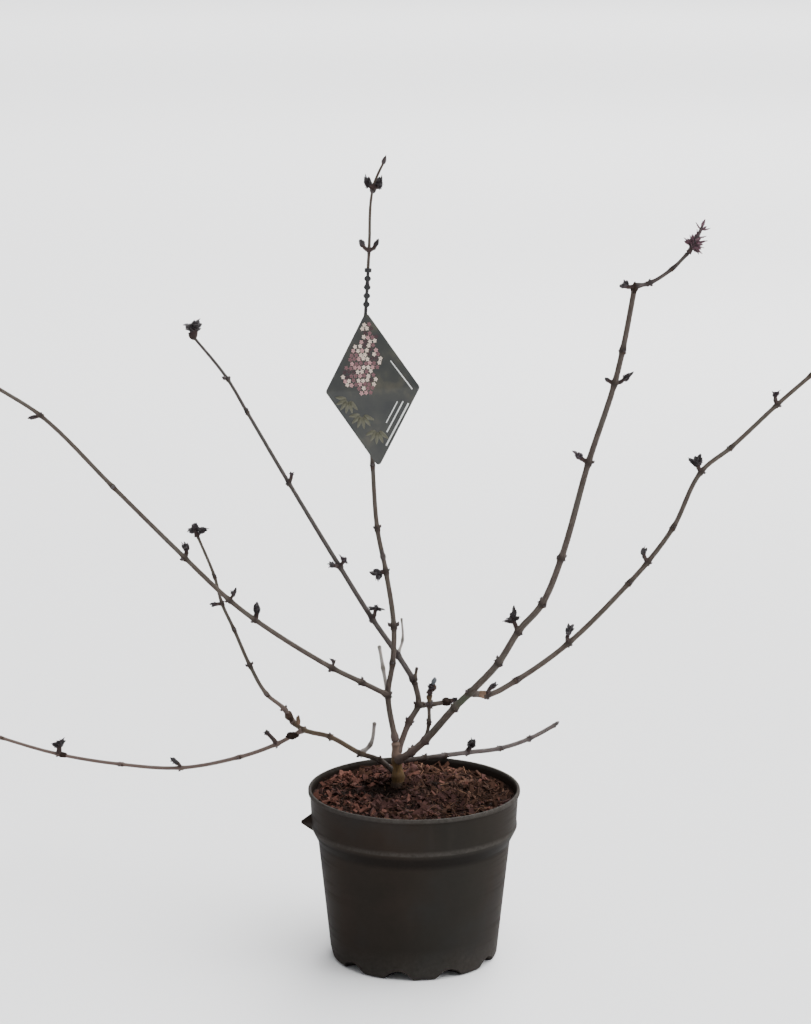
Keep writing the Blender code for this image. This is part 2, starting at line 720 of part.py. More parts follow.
def flat_piece(name, outline, place, group):
    curve = bpy.data.curves.new(name, "CURVE")
    curve.dimensions = "2D"
    curve.fill_mode = "BOTH"
    curve.extrude = TAG_THICKNESS / 2
    spline = curve.splines.new("POLY")
    spline.points.add(len(outline) - 1)
    spline.use_cyclic_u = True
    for point, (x, y) in zip(spline.points, outline):
        point.co = (x, y, 0, 1)
    piece = add_object(name, curve, group)
    piece.matrix_world = place
    return make_plain(piece, group)


# A frame whose Y runs up the stem and whose Z faces the front
def upright_frame(origin, along):
    front = Vector((0, -1, 0))
    right = along.cross(front).normalized()
    columns = Matrix((right, along, right.cross(along))).transposed()
    return Matrix.Translation(origin) @ columns.to_4x4()


def make_tag(group):
    nodes = limb_nodes(TAG_STEM)
    card_top, collar = (nodes[node].lerp(nodes[node + 1], part)
                        for node, part in (CARD_TOP, COLLAR_PLACE))
    before_stem = Vector((0, -TAG_STAND_OFF, 0))
    swing = (Matrix.Rotation(math.radians(-CARD_TURN), 4, "Z")
             @ Matrix.Rotation(math.radians(-CARD_PITCH), 4, "X")
             @ Matrix.Rotation(math.radians(-CARD_TILT), 4, "Y"))
    stand_up = Matrix.Rotation(math.pi / 2, 4, "X")
    tag = flat_piece("hang_tag", card_outline(),
                     Matrix.Translation(card_top + before_stem) @ swing @ stand_up, group)
    along = (collar - card_top).normalized()
    length = (collar - card_top).length + STRAP_OVERLAP
    rest = make_collection("tag_pieces")
    flat_piece("strap", strap_outline(length),
               upright_frame(card_top + before_stem - along * STRAP_OVERLAP, along), rest)
    half = COLLAR_HEIGHT / 2
    section = [(COLLAR_OUTSIDE, half), (COLLAR_OUTSIDE, -half), (COLLAR_INSIDE, -half),
               (COLLAR_INSIDE, half)]
    ring = turn_profile("collar", section, rest, steps=16, closed=True)
    node = COLLAR_PLACE[0]
    stem_way = (nodes[node + 1] - nodes[node]).normalized()
    ring.matrix_world = (Matrix.Translation(collar - stem_way * half)
                         @ stem_way.to_track_quat("Z", "Y").to_matrix().to_4x4())
    make_plain(ring, rest)
    return join_pieces(tag, rest, group)


def main():
    clear_scene()
    shrub = make_collection("potted_elder")
    cutters = make_collection("cutters")
    finishes = {name: make_finish(name) for name in FINISHES}
    dress(make_compost(shrub), finishes["compost"])
    for name, limb in make_limbs(shrub, cutters).items():
        finish = "grey_bark" if name in GREY_LIMBS else "cane_bark"
        dress(limb, finishes["stem_bark" if name == "crown" else finish])
    for tuft in make_tufts(shrub):
        dress(tuft, finishes["tuft_leaf"])
    dress(make_tag(shrub), finishes["tag_card"])
    dress(make_pot(shrub, cutters), finishes["pot_plastic"])


main()
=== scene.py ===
import json
import math
import random

import bmesh
import bpy
from mathutils import Matrix, Vector
from mathutils.noise import noise

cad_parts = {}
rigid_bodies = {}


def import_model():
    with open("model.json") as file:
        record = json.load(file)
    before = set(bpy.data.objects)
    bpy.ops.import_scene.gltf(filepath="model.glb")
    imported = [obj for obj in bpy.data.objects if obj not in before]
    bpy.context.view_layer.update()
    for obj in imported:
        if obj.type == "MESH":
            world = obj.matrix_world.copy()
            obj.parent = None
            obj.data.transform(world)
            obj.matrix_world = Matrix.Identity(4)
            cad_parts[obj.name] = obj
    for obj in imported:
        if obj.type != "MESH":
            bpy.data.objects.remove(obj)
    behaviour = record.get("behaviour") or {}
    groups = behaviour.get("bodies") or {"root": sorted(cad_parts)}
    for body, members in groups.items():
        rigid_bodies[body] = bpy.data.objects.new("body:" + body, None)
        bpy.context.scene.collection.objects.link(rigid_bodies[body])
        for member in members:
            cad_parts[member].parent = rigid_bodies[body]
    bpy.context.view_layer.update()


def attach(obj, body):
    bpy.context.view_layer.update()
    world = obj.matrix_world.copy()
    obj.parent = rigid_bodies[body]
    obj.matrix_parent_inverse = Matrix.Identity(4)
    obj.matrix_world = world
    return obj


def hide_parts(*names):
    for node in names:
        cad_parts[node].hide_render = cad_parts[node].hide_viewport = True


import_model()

# A young elder shrub in its nursery pot: metres, +Z up, -Y to the front
mm = 0.001


# Objects and meshes

def addObject(name, data):
    item = bpy.data.objects.new(name, data)
    bpy.context.scene.collection.objects.link(item)
    return item


def shapeToObject(name, shape):
    mesh = bpy.data.meshes.new(name)
    shape.to_mesh(mesh)
    shape.free()
    return addObject(name, mesh)


# the evaluated mesh of an object, in place of the object and its modifiers
def settle(source, name):
    bpy.context.view_layer.update()
    depsgraph = bpy.context.evaluated_depsgraph_get()
    mesh = bpy.data.meshes.new_from_object(source.evaluated_get(depsgraph))
    mesh.transform(source.matrix_world)
    bpy.data.objects.remove(source, do_unlink=True)
    return addObject(name, mesh)


# corners and faces of a small shape that is repeated many times
def keepShape(shape):
    kept = ([corner.co.copy() for corner in shape.verts],
            [[corner.index for corner in face.verts] for face in shape.faces])
    shape.free()
    return kept


def joinCopies(name, copies, finish):
    corners, faces = [], []
    for (shapeCorners, shapeFaces), place in copies:
        first = len(corners)
        corners += [place @ corner for corner in shapeCorners]
        faces += [[first + index for index in face] for face in shapeFaces]
    mesh = bpy.data.meshes.new(name)
    mesh.from_pydata(corners, [], faces)
    mesh.materials.append(finish)
    mesh.shade_smooth()
    return addObject(name, mesh)


def dress(piece, finish, sharp=None):
    piece.data.materials.clear()
    piece.data.materials.append(finish)
    piece.data.shade_smooth()
    if sharp:
        piece.data.set_sharp_from_angle(angle=math.radians(sharp))
    return piece


# the piece rides on the body and stands for some solids
def handOver(piece, slotName, *nodes):
    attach(piece, "root")
    if nodes:
        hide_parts(*nodes)


# Nodes, of materials and of geometry

def put(tree, kind, inputs=None, **settings):
    node = tree.nodes.new(kind)
    for key, value in settings.items():
        setattr(node, key, value)
    for key, value in (inputs or {}).items():
        if isinstance(value, bpy.types.NodeSocket):
            tree.links.new(value, node.inputs[key])
        else:
            node.inputs[key].default_value = value
    return node


def startTree(name, sockets):
    tree = bpy.data.node_groups.new(name, "GeometryNodeTree")
    tree.interface.new_socket("Geometry", in_out="INPUT", socket_type="NodeSocketGeometry")
    tree.interface.new_socket("Geometry", in_out="OUTPUT", socket_type="NodeSocketGeometry")
    for label, kind in sockets.items():
        tree.interface.new_socket(label, in_out="INPUT", socket_type="NodeSocket" + kind)
    return tree, tree.nodes.new("NodeGroupInput").outputs


def endTree(tree, geometry, finish):
    real = put(tree, "GeometryNodeRealizeInstances", {"Geometry": geometry})
    coloured = put(tree, "GeometryNodeSetMaterial", {"Geometry": real.outputs[0], "Material": finish})
    tree.links.new(coloured.outputs[0], tree.nodes.new("NodeGroupOutput").inputs[0])


def growWith(tree, source, name, values):
    modifier = source.modifiers.new(tree.name, "NODES")
    modifier.node_group = tree
    for item in tree.interface.items_tree:
        if item.in_out == "INPUT" and item.name in values:
            modifier[item.identifier] = values[item.name]
    return settle(source, name)


# Materials

def newFinish(name, roughness, **sockets):
    finish = bpy.data.materials.new(name)
    finish.use_nodes = True
    shader = finish.node_tree.nodes["Principled BSDF"]
    shader.inputs["Roughness"].default_value = roughness
    for label, value in sockets.items():
        shader.inputs[label.replace("_", " ")].default_value = value
    return finish, finish.node_tree, shader


def speckle(tree, coordinates, scale, stretch=(1, 1, 1), detail=3, roughness=0.55):
    place = put(tree, "ShaderNodeMapping", {"Vector": coordinates, "Scale": stretch})
    return put(tree, "ShaderNodeTexNoise", {
        "Vector": place.outputs[0], "Scale": scale, "Detail": detail,
        "Roughness": roughness}).outputs["Fac"]


def shades(tree, factor, stops):
    ramp = put(tree, "ShaderNodeValToRGB", {"Fac": factor})
    points = ramp.color_ramp.elements
    while len(points) < len(stops):
        points.new(0.5)
    for point, (position, colour) in zip(points, stops):
        point.position = position
        point.color = (*colour, 1)
    return ramp.outputs["Color"]


def blendColours(tree, factor, first, second, how="MIX"):
    mix = put(tree, "ShaderNodeMix", {0: factor}, data_type="RGBA", blend_type=how)
    for index, colour in ((6, first), (7, second)):
        if isinstance(colour, bpy.types.NodeSocket):
            tree.links.new(colour, mix.inputs[index])
        else:
            mix.inputs[index].default_value = (*colour, 1)
    return mix.outputs[2]


def rangeOf(tree, value, fromLow, fromHigh, toLow=0, toHigh=1):
    return put(tree, "ShaderNodeMapRange", {
        "Value": value, "From Min": fromLow, "From Max": fromHigh,
        "To Min": toLow, "To Max": toHigh}).outputs[0]


def calculate(tree, operation, first, second):
    return put(tree, "ShaderNodeMath", {0: first, 1: second}, operation=operation).outputs[0]


def addRelief(tree, shader, height, depth, strength=1.0):
    bump = put(tree, "ShaderNodeBump", {
        "Height": height, "Distance": depth, "Strength": strength})
    tree.links.new(bump.outputs[0], shader.inputs["Normal"])


def objectPlace(tree):
    return put(tree, "ShaderNodeTexCoord").outputs["Object"]


# Stage: camera, floor and light

stage = dict(
    cameraPlace=(-0.0077, -2.319, 0.887), cameraPitch=78.3, lens=94.92, sensor=36,
    floorRadius=90, floorColour=(0.88, 0.88, 0.885), skyColour=(0.95, 0.97, 1.0), skyLight=0.55,
    # soft daylight: where it comes from, its strength, its width in degrees and its colour
    daylight={
        "ceilingLight": ((0.42, -0.02, 1.0), 5.2, 75, (1.0, 1.0, 0.995)),
    },
    # each lamp: where it hangs, what it is aimed at, its width in metres, power and colour
    lamps={
        "windowLight": ((2.4, -1.1, 1.3), (0, 0, 0.30), 1.6, 30, (0.95, 0.98, 1.0)),
        "nearFloorLight": ((1.3, 3.6, 2.2), (1.1, 3.4, 0), 2.2, 44, (1.0, 1.0, 1.0)),
        "midFloorLight": ((2.6, 9.5, 6.5), (2.3, 9.0, 0), 6.5, 480, (1.0, 1.0, 1.0)),
        "farFloorLight": ((6.0, 30, 20), (5.5, 28, 0), 20, 4600, (1.0, 1.0, 1.0)),
        "endFloorLight": ((9.0, 75, 45), (8.0, 70, 0), 45, 22000, (1.0, 1.0, 1.0)),
    },
)


def makeStage():
    lens = bpy.data.cameras.new("photoView")
    lens.lens = stage["lens"]
    lens.sensor_width = stage["sensor"]
    lens.clip_end = 4 * stage["floorRadius"]
    camera = addObject("photoView", lens)
    camera.location = stage["cameraPlace"]
    camera.rotation_euler = (math.radians(stage["cameraPitch"]), 0, 0)
    bpy.context.scene.camera = camera

    shape = bmesh.new()
    bmesh.ops.create_circle(shape, cap_ends=True, segments=96, radius=stage["floorRadius"])
    floor = shapeToObject("floor", shape)
    finish, tree, shader = newFinish("paleFloor", 0.9, Specular_IOR_Level=0.2)
    shader.inputs["Base Color"].default_value = (*stage["floorColour"], 1)
    dress(floor, finish)

    for name, (source, strength, width, colour) in stage["daylight"].items():
        sun = bpy.data.lights.new(name, "SUN")
        sun.energy = strength
        sun.angle = math.radians(width)
        sun.color = colour
        addObject(name, sun).rotation_euler = Vector(source).to_track_quat("Z", "Y").to_euler()
    for name, (place, target, width, power, colour) in stage["lamps"].items():
        lamp = bpy.data.lights.new(name, "AREA")
        lamp.shape = "DISK"
        lamp.size = width
        lamp.energy = power
        lamp.color = colour
        holder = addObject(name, lamp)
        holder.location = place
        holder.rotation_euler = (Vector(target) - Vector(place)).to_track_quat("-Z", "Y").to_euler()

    world = bpy.data.worlds.new("studioSky")
    world.use_nodes = True
    sky = world.node_tree.nodes["Background"]
    sky.inputs["Color"].default_value = (*stage["skyColour"], 1)
    sky.inputs["Strength"].default_value = stage["skyLight"]
    bpy.context.scene.world = world


makeStage()
print("stage set")


# Pot: a turned shell with fillets, eight drain arches and a small lug

pot = dict(
    height=155, rimRadius=95, lipHeight=3.6, lipOverhang=1.6,
    bandFootRadius=92, bandFootHeight=120.5, shoulderRadius=86, shoulderHeight=108,
    baseRadius=75, baseRound=2.5, wall=1.6, floor=2.4, heelRadius=53, heelHeight=9,
    # arches round the foot of the pot, whose roofs slope down towards its middle
    drainArches=10, firstArch=259, archRadius=16, archRise=7.5, archLength=50, archSlope=21,
    lugAngle=184, lugHeight=124.8, lugLength=10, lugRoot=8.4, lugTip=1.2,
    turnSteps=160, filletSteps=4,
)


# heights and radii up the inner wall, in mm, as the solid has them
def innerWall():
    heel = pot["baseRadius"] + (
        pot["shoulderRadius"] - pot["baseRadius"]) * pot["heelHeight"] / pot["shoulderHeight"]
    return [
        (pot["heelRadius"], pot["floor"]),
        (heel - pot["wall"], pot["heelHeight"]),
        (pot["shoulderRadius"] - pot["wall"], pot["shoulderHeight"] + pot["wall"] / 2),
        (pot["bandFootRadius"] - pot["wall"], pot["bandFootHeight"] + pot["wall"] / 2),
        (pot["rimRadius"] - pot["lipOverhang"] - pot["wall"], pot["height"] - pot["lipHeight"] / 2),
    ]


# corners of a profile, each (radius, height, fillet), turned into a line with round corners
def roundCorners(corners):
    line = [Vector(corners[0][:2])]
    for before, corner, after in zip(corners, corners[1:], corners[2:]):
        middle = Vector(corner[:2])
        toBefore = Vector(before[:2]) - middle
        toAfter = Vector(after[:2]) - middle
        cut = min(corner[2], 0.45 * toBefore.length, 0.45 * toAfter.length)
        start = middle + cut * toBefore.normalized()
        end = middle + cut * toAfter.normalized()
        for step in range(pot["filletSteps"] + 1):
            part = step / pot["filletSteps"]
            line.append(start * (1 - part) ** 2 + middle * 2 * part * (1 - part) + end * part ** 2)
    return line + [Vector(corners[-1][:2])]


def potCorners():
    rim, top, lip, over = pot["rimRadius"], pot["height"], pot["lipHeight"], pot["lipOverhang"]
    inside = [(radius, height, 2.5) for radius, height in innerWall()]
    lipLine = [
        (rim - over - pot["wall"] * 2 / 3, top, 0.7),
        (rim, top, 1.1),
        (rim, top - lip, 0.9),
        (rim - over, top - lip - 0.3, 0.5),
    ]
    band = [
        (pot["bandFootRadius"] - 0.1, pot["bandFootHeight"] + 4.5, 1.0),
        (pot["bandFootRadius"] + 0.5, pot["bandFootHeight"] + 2.6, 0.8),
        (pot["bandFootRadius"] + 0.4, pot["bandFootHeight"] + 0.3, 0.9),
        (pot["shoulderRadius"] + 0.2, pot["shoulderHeight"] + 0.2, 1.8),
        (pot["baseRadius"], pot["baseRound"], 2.5),
        (pot["baseRadius"] - pot["baseRound"], 0, 2.0),
    ]
    return [(0, pot["floor"], 0)] + inside + lipLine + band + [(0, 0, 0)]


def cutOrJoin(target, operation, other):
    change = target.modifiers.new(other.name, "BOOLEAN")
    change.operation = operation
    change.object = other


def lyingCone(name, sides, root, tip, length, place):
    shape = bmesh.new()
    bmesh.ops.create_cone(
        shape, cap_ends=True, segments=sides, radius1=root * mm, radius2=tip * mm,
        depth=length * mm, matrix=place @ Matrix.Rotation(math.pi / 2, 4, "Y"))
    return shapeToObject(name, shape)


def makePotFinish():
    finish, tree, shader = newFinish("potPlastic", 0.5, Specular_IOR_Level=0.02)
    place = objectPlace(tree)
    clouds = speckle(tree, place, 12, detail=4)
    tints = speckle(tree, place, 5, (1, 1, 0.4), detail=2)
    flow = speckle(tree, place, 60, (1, 1, 0.06), detail=3)
    scuffs = speckle(tree, place, 9, (1, 1, 26), detail=6, roughness=0.7)
    dust = speckle(tree, place, 260, detail=6, roughness=0.75)
    parts = put(tree, "ShaderNodeSeparateXYZ", {0: place}).outputs
    height = parts["Z"]
    base = shades(tree, clouds, ((0.3, (0.0165, 0.0130, 0.0102)), (0.52, (0.0225, 0.0166, 0.0134)),
                                 (0.72, (0.0235, 0.0210, 0.0200))))
    tinted = blendColours(tree, rangeOf(tree, tints, 0.5, 0.66, 0, 0.55), base, (0.0135, 0.0150, 0.0138))
    streaked = blendColours(tree, rangeOf(tree, flow, 0.58, 0.85, 0, 0.3), tinted, (0.030, 0.0255, 0.022))
    scuffed = blendColours(tree, rangeOf(tree, scuffs, 0.64, 0.76, 0, 0.4), streaked,
                           (0.038, 0.034, 0.030))
    # painted shade below the band's foot; dust, partly a painted highlight, on the lip and the band's edge; dust on
    # the foot of the pot
    creaseShade = calculate(tree, "MULTIPLY", rangeOf(tree, height, 0.105, 0.110), rangeOf(tree, height, 0.120, 0.116))
    creaseShaded = blendColours(tree, calculate(tree, "MULTIPLY", creaseShade, 0.7), scuffed, (0.006, 0.005, 0.0045))
    low = rangeOf(tree, height, 0.030, 0.0, 0, 0.6)
    # the lip and the band's edge are paler with dust and a painted highlight
    lipDustAndHighlight = rangeOf(tree, height, 0.1510, 0.1530, 0, 0.9)
    edgeDustAndHighlight = calculate(tree, "MULTIPLY", rangeOf(tree, height, 0.1200, 0.1212),
                       rangeOf(tree, height, 0.1255, 0.1230, 0, 0.7))
    edges = calculate(tree, "ADD", calculate(tree, "ADD", low, lipDustAndHighlight), edgeDustAndHighlight)
    dustAndHighlight = calculate(tree, "MULTIPLY", edges, rangeOf(tree, dust, 0.30, 0.74, 0.2, 1))
    dustedAndHighlit = blendColours(tree, dustAndHighlight, creaseShaded, (0.056, 0.051, 0.046))
    # painted shade: the pot's colour is darker towards its left
    leftShade = rangeOf(tree, parts["X"], -0.088, -0.025, 0.7, 1)
    leftShaded = put(tree, "ShaderNodeVectorMath", {0: dustedAndHighlit, "Scale": leftShade}, operation="SCALE").outputs[0]
    tree.links.new(leftShaded, shader.inputs["Base Color"])
    rough = calculate(tree, "ADD", rangeOf(tree, clouds, 0.3, 0.7, 0.46, 0.62),
                      rangeOf(tree, scuffs, 0.5, 0.75, 0, 0.18))
    tree.links.new(rough, shader.inputs["Roughness"])
    relief = calculate(tree, "ADD", rangeOf(tree, flow, 0, 1, 0, 0.5), rangeOf(tree, dust, 0, 1, 0, 0.35))
    addRelief(tree, shader, relief, 0.25 * mm, 0.5)
    return finish


def makePot():
    line = roundCorners(potCorners())
    shape = bmesh.new()
    points = [shape.verts.new((radius * mm, 0, height * mm)) for radius, height in line]
    for start, end in zip(points, points[1:]):
        shape.edges.new((start, end))
    shell = shapeToObject("shell", shape)
    turn = shell.modifiers.new("turn", "SCREW")
    turn.steps = turn.render_steps = pot["turnSteps"]
    turn.use_merge_vertices = True
    turn.merge_threshold = 0.01 * mm
    tools = []
    for index in range(pot["drainArches"]):
        spin = Matrix.Rotation(math.radians(pot["firstArch"] + 360 * index / pot["drainArches"]), 4, "Z")
        spot = Matrix.Translation(Vector((pot["baseRadius"], 0, pot["archRise"] - pot["archRadius"])) * mm)
        slope = Matrix.Rotation(math.radians(-pot["archSlope"]), 4, "Y")
        tools.append(lyingCone(f"arch{index}", 60, pot["archRadius"], pot["archRadius"],
                               pot["archLength"], spin @ spot @ slope))
        cutOrJoin(shell, "DIFFERENCE", tools[-1])
    upBand = (pot["lugHeight"] - pot["bandFootHeight"]) / (pot["height"] - pot["bandFootHeight"])
    bandRadius = pot["bandFootRadius"] + upBand * (
        pot["rimRadius"] - pot["lipOverhang"] - pot["bandFootRadius"])
    spin = Matrix.Rotation(math.radians(pot["lugAngle"]), 4, "Z")
    spot = Matrix.Translation(Vector((bandRadius - pot["wall"] / 2 + pot["lugLength"] / 2, 0,
                                      pot["lugHeight"])) * mm)
    flatten = Matrix.Diagonal((1, 0.45, 1, 1))
    tools.append(lyingCone("lug", 20, pot["lugRoot"], pot["lugTip"], pot["lugLength"],
                           spin @ spot @ flatten))
    cutOrJoin(shell, "UNION", tools[-1])
    shell = settle(shell, "potShell")
    for tool in tools:
        bpy.data.objects.remove(tool, do_unlink=True)
    handOver(dress(shell, makePotFinish(), sharp=34), "pot_plastic", "pot")


makePot()
print("pot turned")


# Compost: a rough bed, under chips, crumbs and fibres of bark

compost = dict(
    level=146.5, tilt=(-0.012, 0.024), bump=1.6, bumpWidth=26,
    crownFoot=(-14.5, 28.4, 150), crownPad=20, mound=60, gap=0.3,
    wallGap=0.4, rings=70, steps=160, rough=1.7, roughWidth=6, hollowPlace=(-30, 12), hollowRadius=27, hollowDepth=7,
    # each litter: pieces a square metre, least gap in mm, size range, tilt in degrees, and which share
    litter={
        "darkCrumbs": (230000, 1.2, (0.5, 1.4), 180, "all", "crumb"),
        "brownCrumbs": (90000, 1.7, (0.4, 1.1), 180, "right", "crumb"),
        "redBarkChips": (52000, 2.7, (0.32, 0.95), 52, "left", "chip"),
        "purpleBarkChips": (58000, 2.8, (0.32, 1.0), 50, "middle", "chip"),
        "brownBarkChips": (50000, 2.8, (0.32, 0.95), 54, "right", "chip"),
        "paleFibres": (15000, 4.2, (0.4, 1.1), 24, "right", "fibre"),
        "darkFibres": (14000, 4.5, (0.5, 1.2), 30, "all", "fibre"),
    },
)


def compostHeight(x, y):
    level = compost["level"] + Vector(compost["tilt"]).dot(Vector((x, y)))
    level += compost["bump"] * noise(Vector((x, y, 0)) / compost["bumpWidth"])
    foot = Vector(compost["crownFoot"])
    away = (Vector((x, y)) - foot.xy).length
    mound = max(0, min(1, (compost["mound"] - away) / (compost["mound"] - compost["crownPad"])))
    mound = mound * mound * (3 - 2 * mound)
    top = foot.z - compost["gap"]
    height = min(top, level + mound * (top - level))
    hollow = (Vector((x, y)) - Vector(compost["hollowPlace"])).length / compost["hollowRadius"]
    height -= compost["hollowDepth"] * max(0, 1 - hollow * hollow) ** 2
    return height + compost["rough"] * noise(Vector((x, y, 40)) / compost["roughWidth"])


# with a bed, the litter has painted shade in the hollow and painted light towards the back
def makeLitterFinish(name, dark, pale, roughness=0.9, grain=420, bed=None):
    finish, tree, shader = newFinish(name, roughness, Specular_IOR_Level=0.06)
    place = objectPlace(tree)
    patches = speckle(tree, place, 90, detail=3)
    grainLines = speckle(tree, place, grain, (1, 0.3, 1), detail=4, roughness=0.65)
    mixed = calculate(tree, "ADD", rangeOf(tree, patches, 0.3, 0.7, 0, 0.6),
                      rangeOf(tree, grainLines, 0.3, 0.7, 0, 0.4))
    colour = shades(tree, mixed, ((0.1, dark), (0.9, pale)))
    if bed:
        hollow = Vector((*bed["hollowPlace"], bed["level"])) * mm
        away = put(tree, "ShaderNodeVectorMath", {0: place, 1: hollow}, operation="DISTANCE").outputs["Value"]
        back = put(tree, "ShaderNodeSeparateXYZ", {0: place}).outputs["Y"]
        # painted shade in the hollow, painted light towards the back
        paintedShadeAndLight = calculate(tree, "MULTIPLY", rangeOf(tree, away, 0.012, 0.036, 0.42, 1),
                          rangeOf(tree, back, 0.028, 0.066, 1, 2.1))
        colour = put(tree, "ShaderNodeVectorMath", {0: colour, "Scale": paintedShadeAndLight}, operation="SCALE").outputs[0]
    tree.links.new(colour, shader.inputs["Base Color"])
    addRelief(tree, shader, grainLines, 0.4 * mm, 0.8)
    return finish


def makeLitterShapes():
    group = {}
    for kind, variants in (("chip", 5), ("crumb", 4), ("fibre", 5)):
        group[kind] = bpy.data.collections.new(kind + "Shapes")
        bpy.context.scene.collection.children.link(group[kind])
        for number in range(variants):
            chance = random.Random(100 + number)
            shape = bmesh.new()
            if kind == "chip":
                bmesh.ops.create_cube(shape, size=1)
                bmesh.ops.subdivide_edges(shape, edges=shape.edges, cuts=1, use_grid_fill=True)
                long, wide, thick = chance.uniform(8, 15), chance.uniform(3.2, 6.4), chance.uniform(1.1, 2.4)
            elif kind == "crumb":
                bmesh.ops.create_icosphere(shape, subdivisions=1, radius=0.5)
                long, wide, thick = chance.uniform(1.8, 2.9), chance.uniform(1.5, 2.3), chance.uniform(1.2, 1.9)
            else:
                bmesh.ops.create_cone(shape, cap_ends=True, segments=4, radius1=0.5, radius2=0.3, depth=1,
                                      matrix=Matrix.Rotation(math.pi / 2, 4, "Y"))
                lengthwise = [edge for edge in shape.edges
                              if abs(edge.verts[0].co.x - edge.verts[1].co.x) > 0.5]
                bmesh.ops.subdivide_edges(shape, edges=lengthwise, cuts=5)
                long, wide, thick = chance.uniform(16, 30), chance.uniform(1.0, 2.0), chance.uniform(0.6, 1.1)
            bend, sway = chance.uniform(-1, 1), chance.uniform(-1, 1)
            for corner in shape.verts:
                along = corner.co.x
                ragged = 0.16 * noise(corner.co * 3.1 + Vector((number * 7.3, 0, 0)))
                corner.co = Vector((along * long * (1 + ragged), corner.co.y * wide * (1 + 2 * ragged),
                                    corner.co.z * thick * (1 + 2 * ragged)))
                if kind != "crumb":
                    corner.co.y += sway * 0.12 * long * (along * along - 0.1)
                    corner.co.z += bend * 0.09 * long * (along * along - 0.1)
                    corner.co.y *= 1 - 0.5 * abs(along)
                corner.co *= mm
            item = shapeToObject(f"{kind}{number}", shape)
            bpy.context.scene.collection.objects.unlink(item)
            group[kind].objects.link(item)
    return group


def litterTree():
    tree, given = startTree("strewLitter", {
        "Shapes": "Collection", "Density": "Float", "Least Gap": "Float", "Smallest": "Float",
        "Largest": "Float", "Tilt": "Float", "Share": "String", "Seed": "Int", "Finish": "Material"})
    share = put(tree, "GeometryNodeInputNamedAttribute", {"Name": given["Share"]}, data_type="FLOAT")
    points = put(tree, "GeometryNodeDistributePointsOnFaces", {
        "Mesh": given["Geometry"], "Distance Min": given["Least Gap"], "Density Max": given["Density"],
        "Density Factor": share.outputs[0], "Seed": given["Seed"]}, distribute_method="POISSON")
    tilt = put(tree, "ShaderNodeMath", {0: given["Tilt"], 1: -1.0}, operation="MULTIPLY")
    low = put(tree, "ShaderNodeCombineXYZ", {0: tilt.outputs[0], 1: tilt.outputs[0], 2: 0.0})
    high = put(tree, "ShaderNodeCombineXYZ", {0: given["Tilt"], 1: given["Tilt"], 2: 2 * math.pi})
    turn = put(tree, "FunctionNodeRandomValue", {
        "Min": low.outputs[0], "Max": high.outputs[0], "Seed": given["Seed"]}, data_type="FLOAT_VECTOR")
    turned = put(tree, "FunctionNodeEulerToRotation", {0: turn.outputs[0]})
    facing = put(tree, "FunctionNodeRotateRotation", {
        0: points.outputs["Rotation"], 1: turned.outputs[0]}, rotation_space="LOCAL")
    size = put(tree, "FunctionNodeRandomValue", {
        2: given["Smallest"], 3: given["Largest"], "Seed": given["Seed"]}, data_type="FLOAT")
    shapes = put(tree, "GeometryNodeCollectionInfo", {
        "Collection": given["Shapes"], "Separate Children": True, "Reset Children": True})
    placed = put(tree, "GeometryNodeInstanceOnPoints", {
        "Points": points.outputs[0], "Instance": shapes.outputs[0], "Pick Instance": True,
        "Rotation": facing.outputs[0], "Scale": size.outputs[1]})
    endTree(tree, placed.outputs[0], given["Finish"])
    return tree


# move each whole piece of litter that reaches past the pot's inner wall back inside it
def keepInside(litter, corners, wall):
    (lowRadius, lowHeight), (highRadius, highHeight) = wall[-2:]
    flat = (highRadius - lowRadius) / (highHeight - lowHeight)
    places = [corner.co / mm for corner in litter.data.vertices]
    for first in range(0, len(places), corners):
        piece = places[first:first + corners]
        over = max(place.xy.length - lowRadius - flat * (place.z - lowHeight) for place in piece)
        over += compost["wallGap"]
        if over > 0:
            inward = -sum((place.xy for place in piece), Vector((0, 0))).normalized() * over
            for corner, place in zip(litter.data.vertices[first:first + corners], piece):
                corner.co = (place + inward.to_3d()) * mm


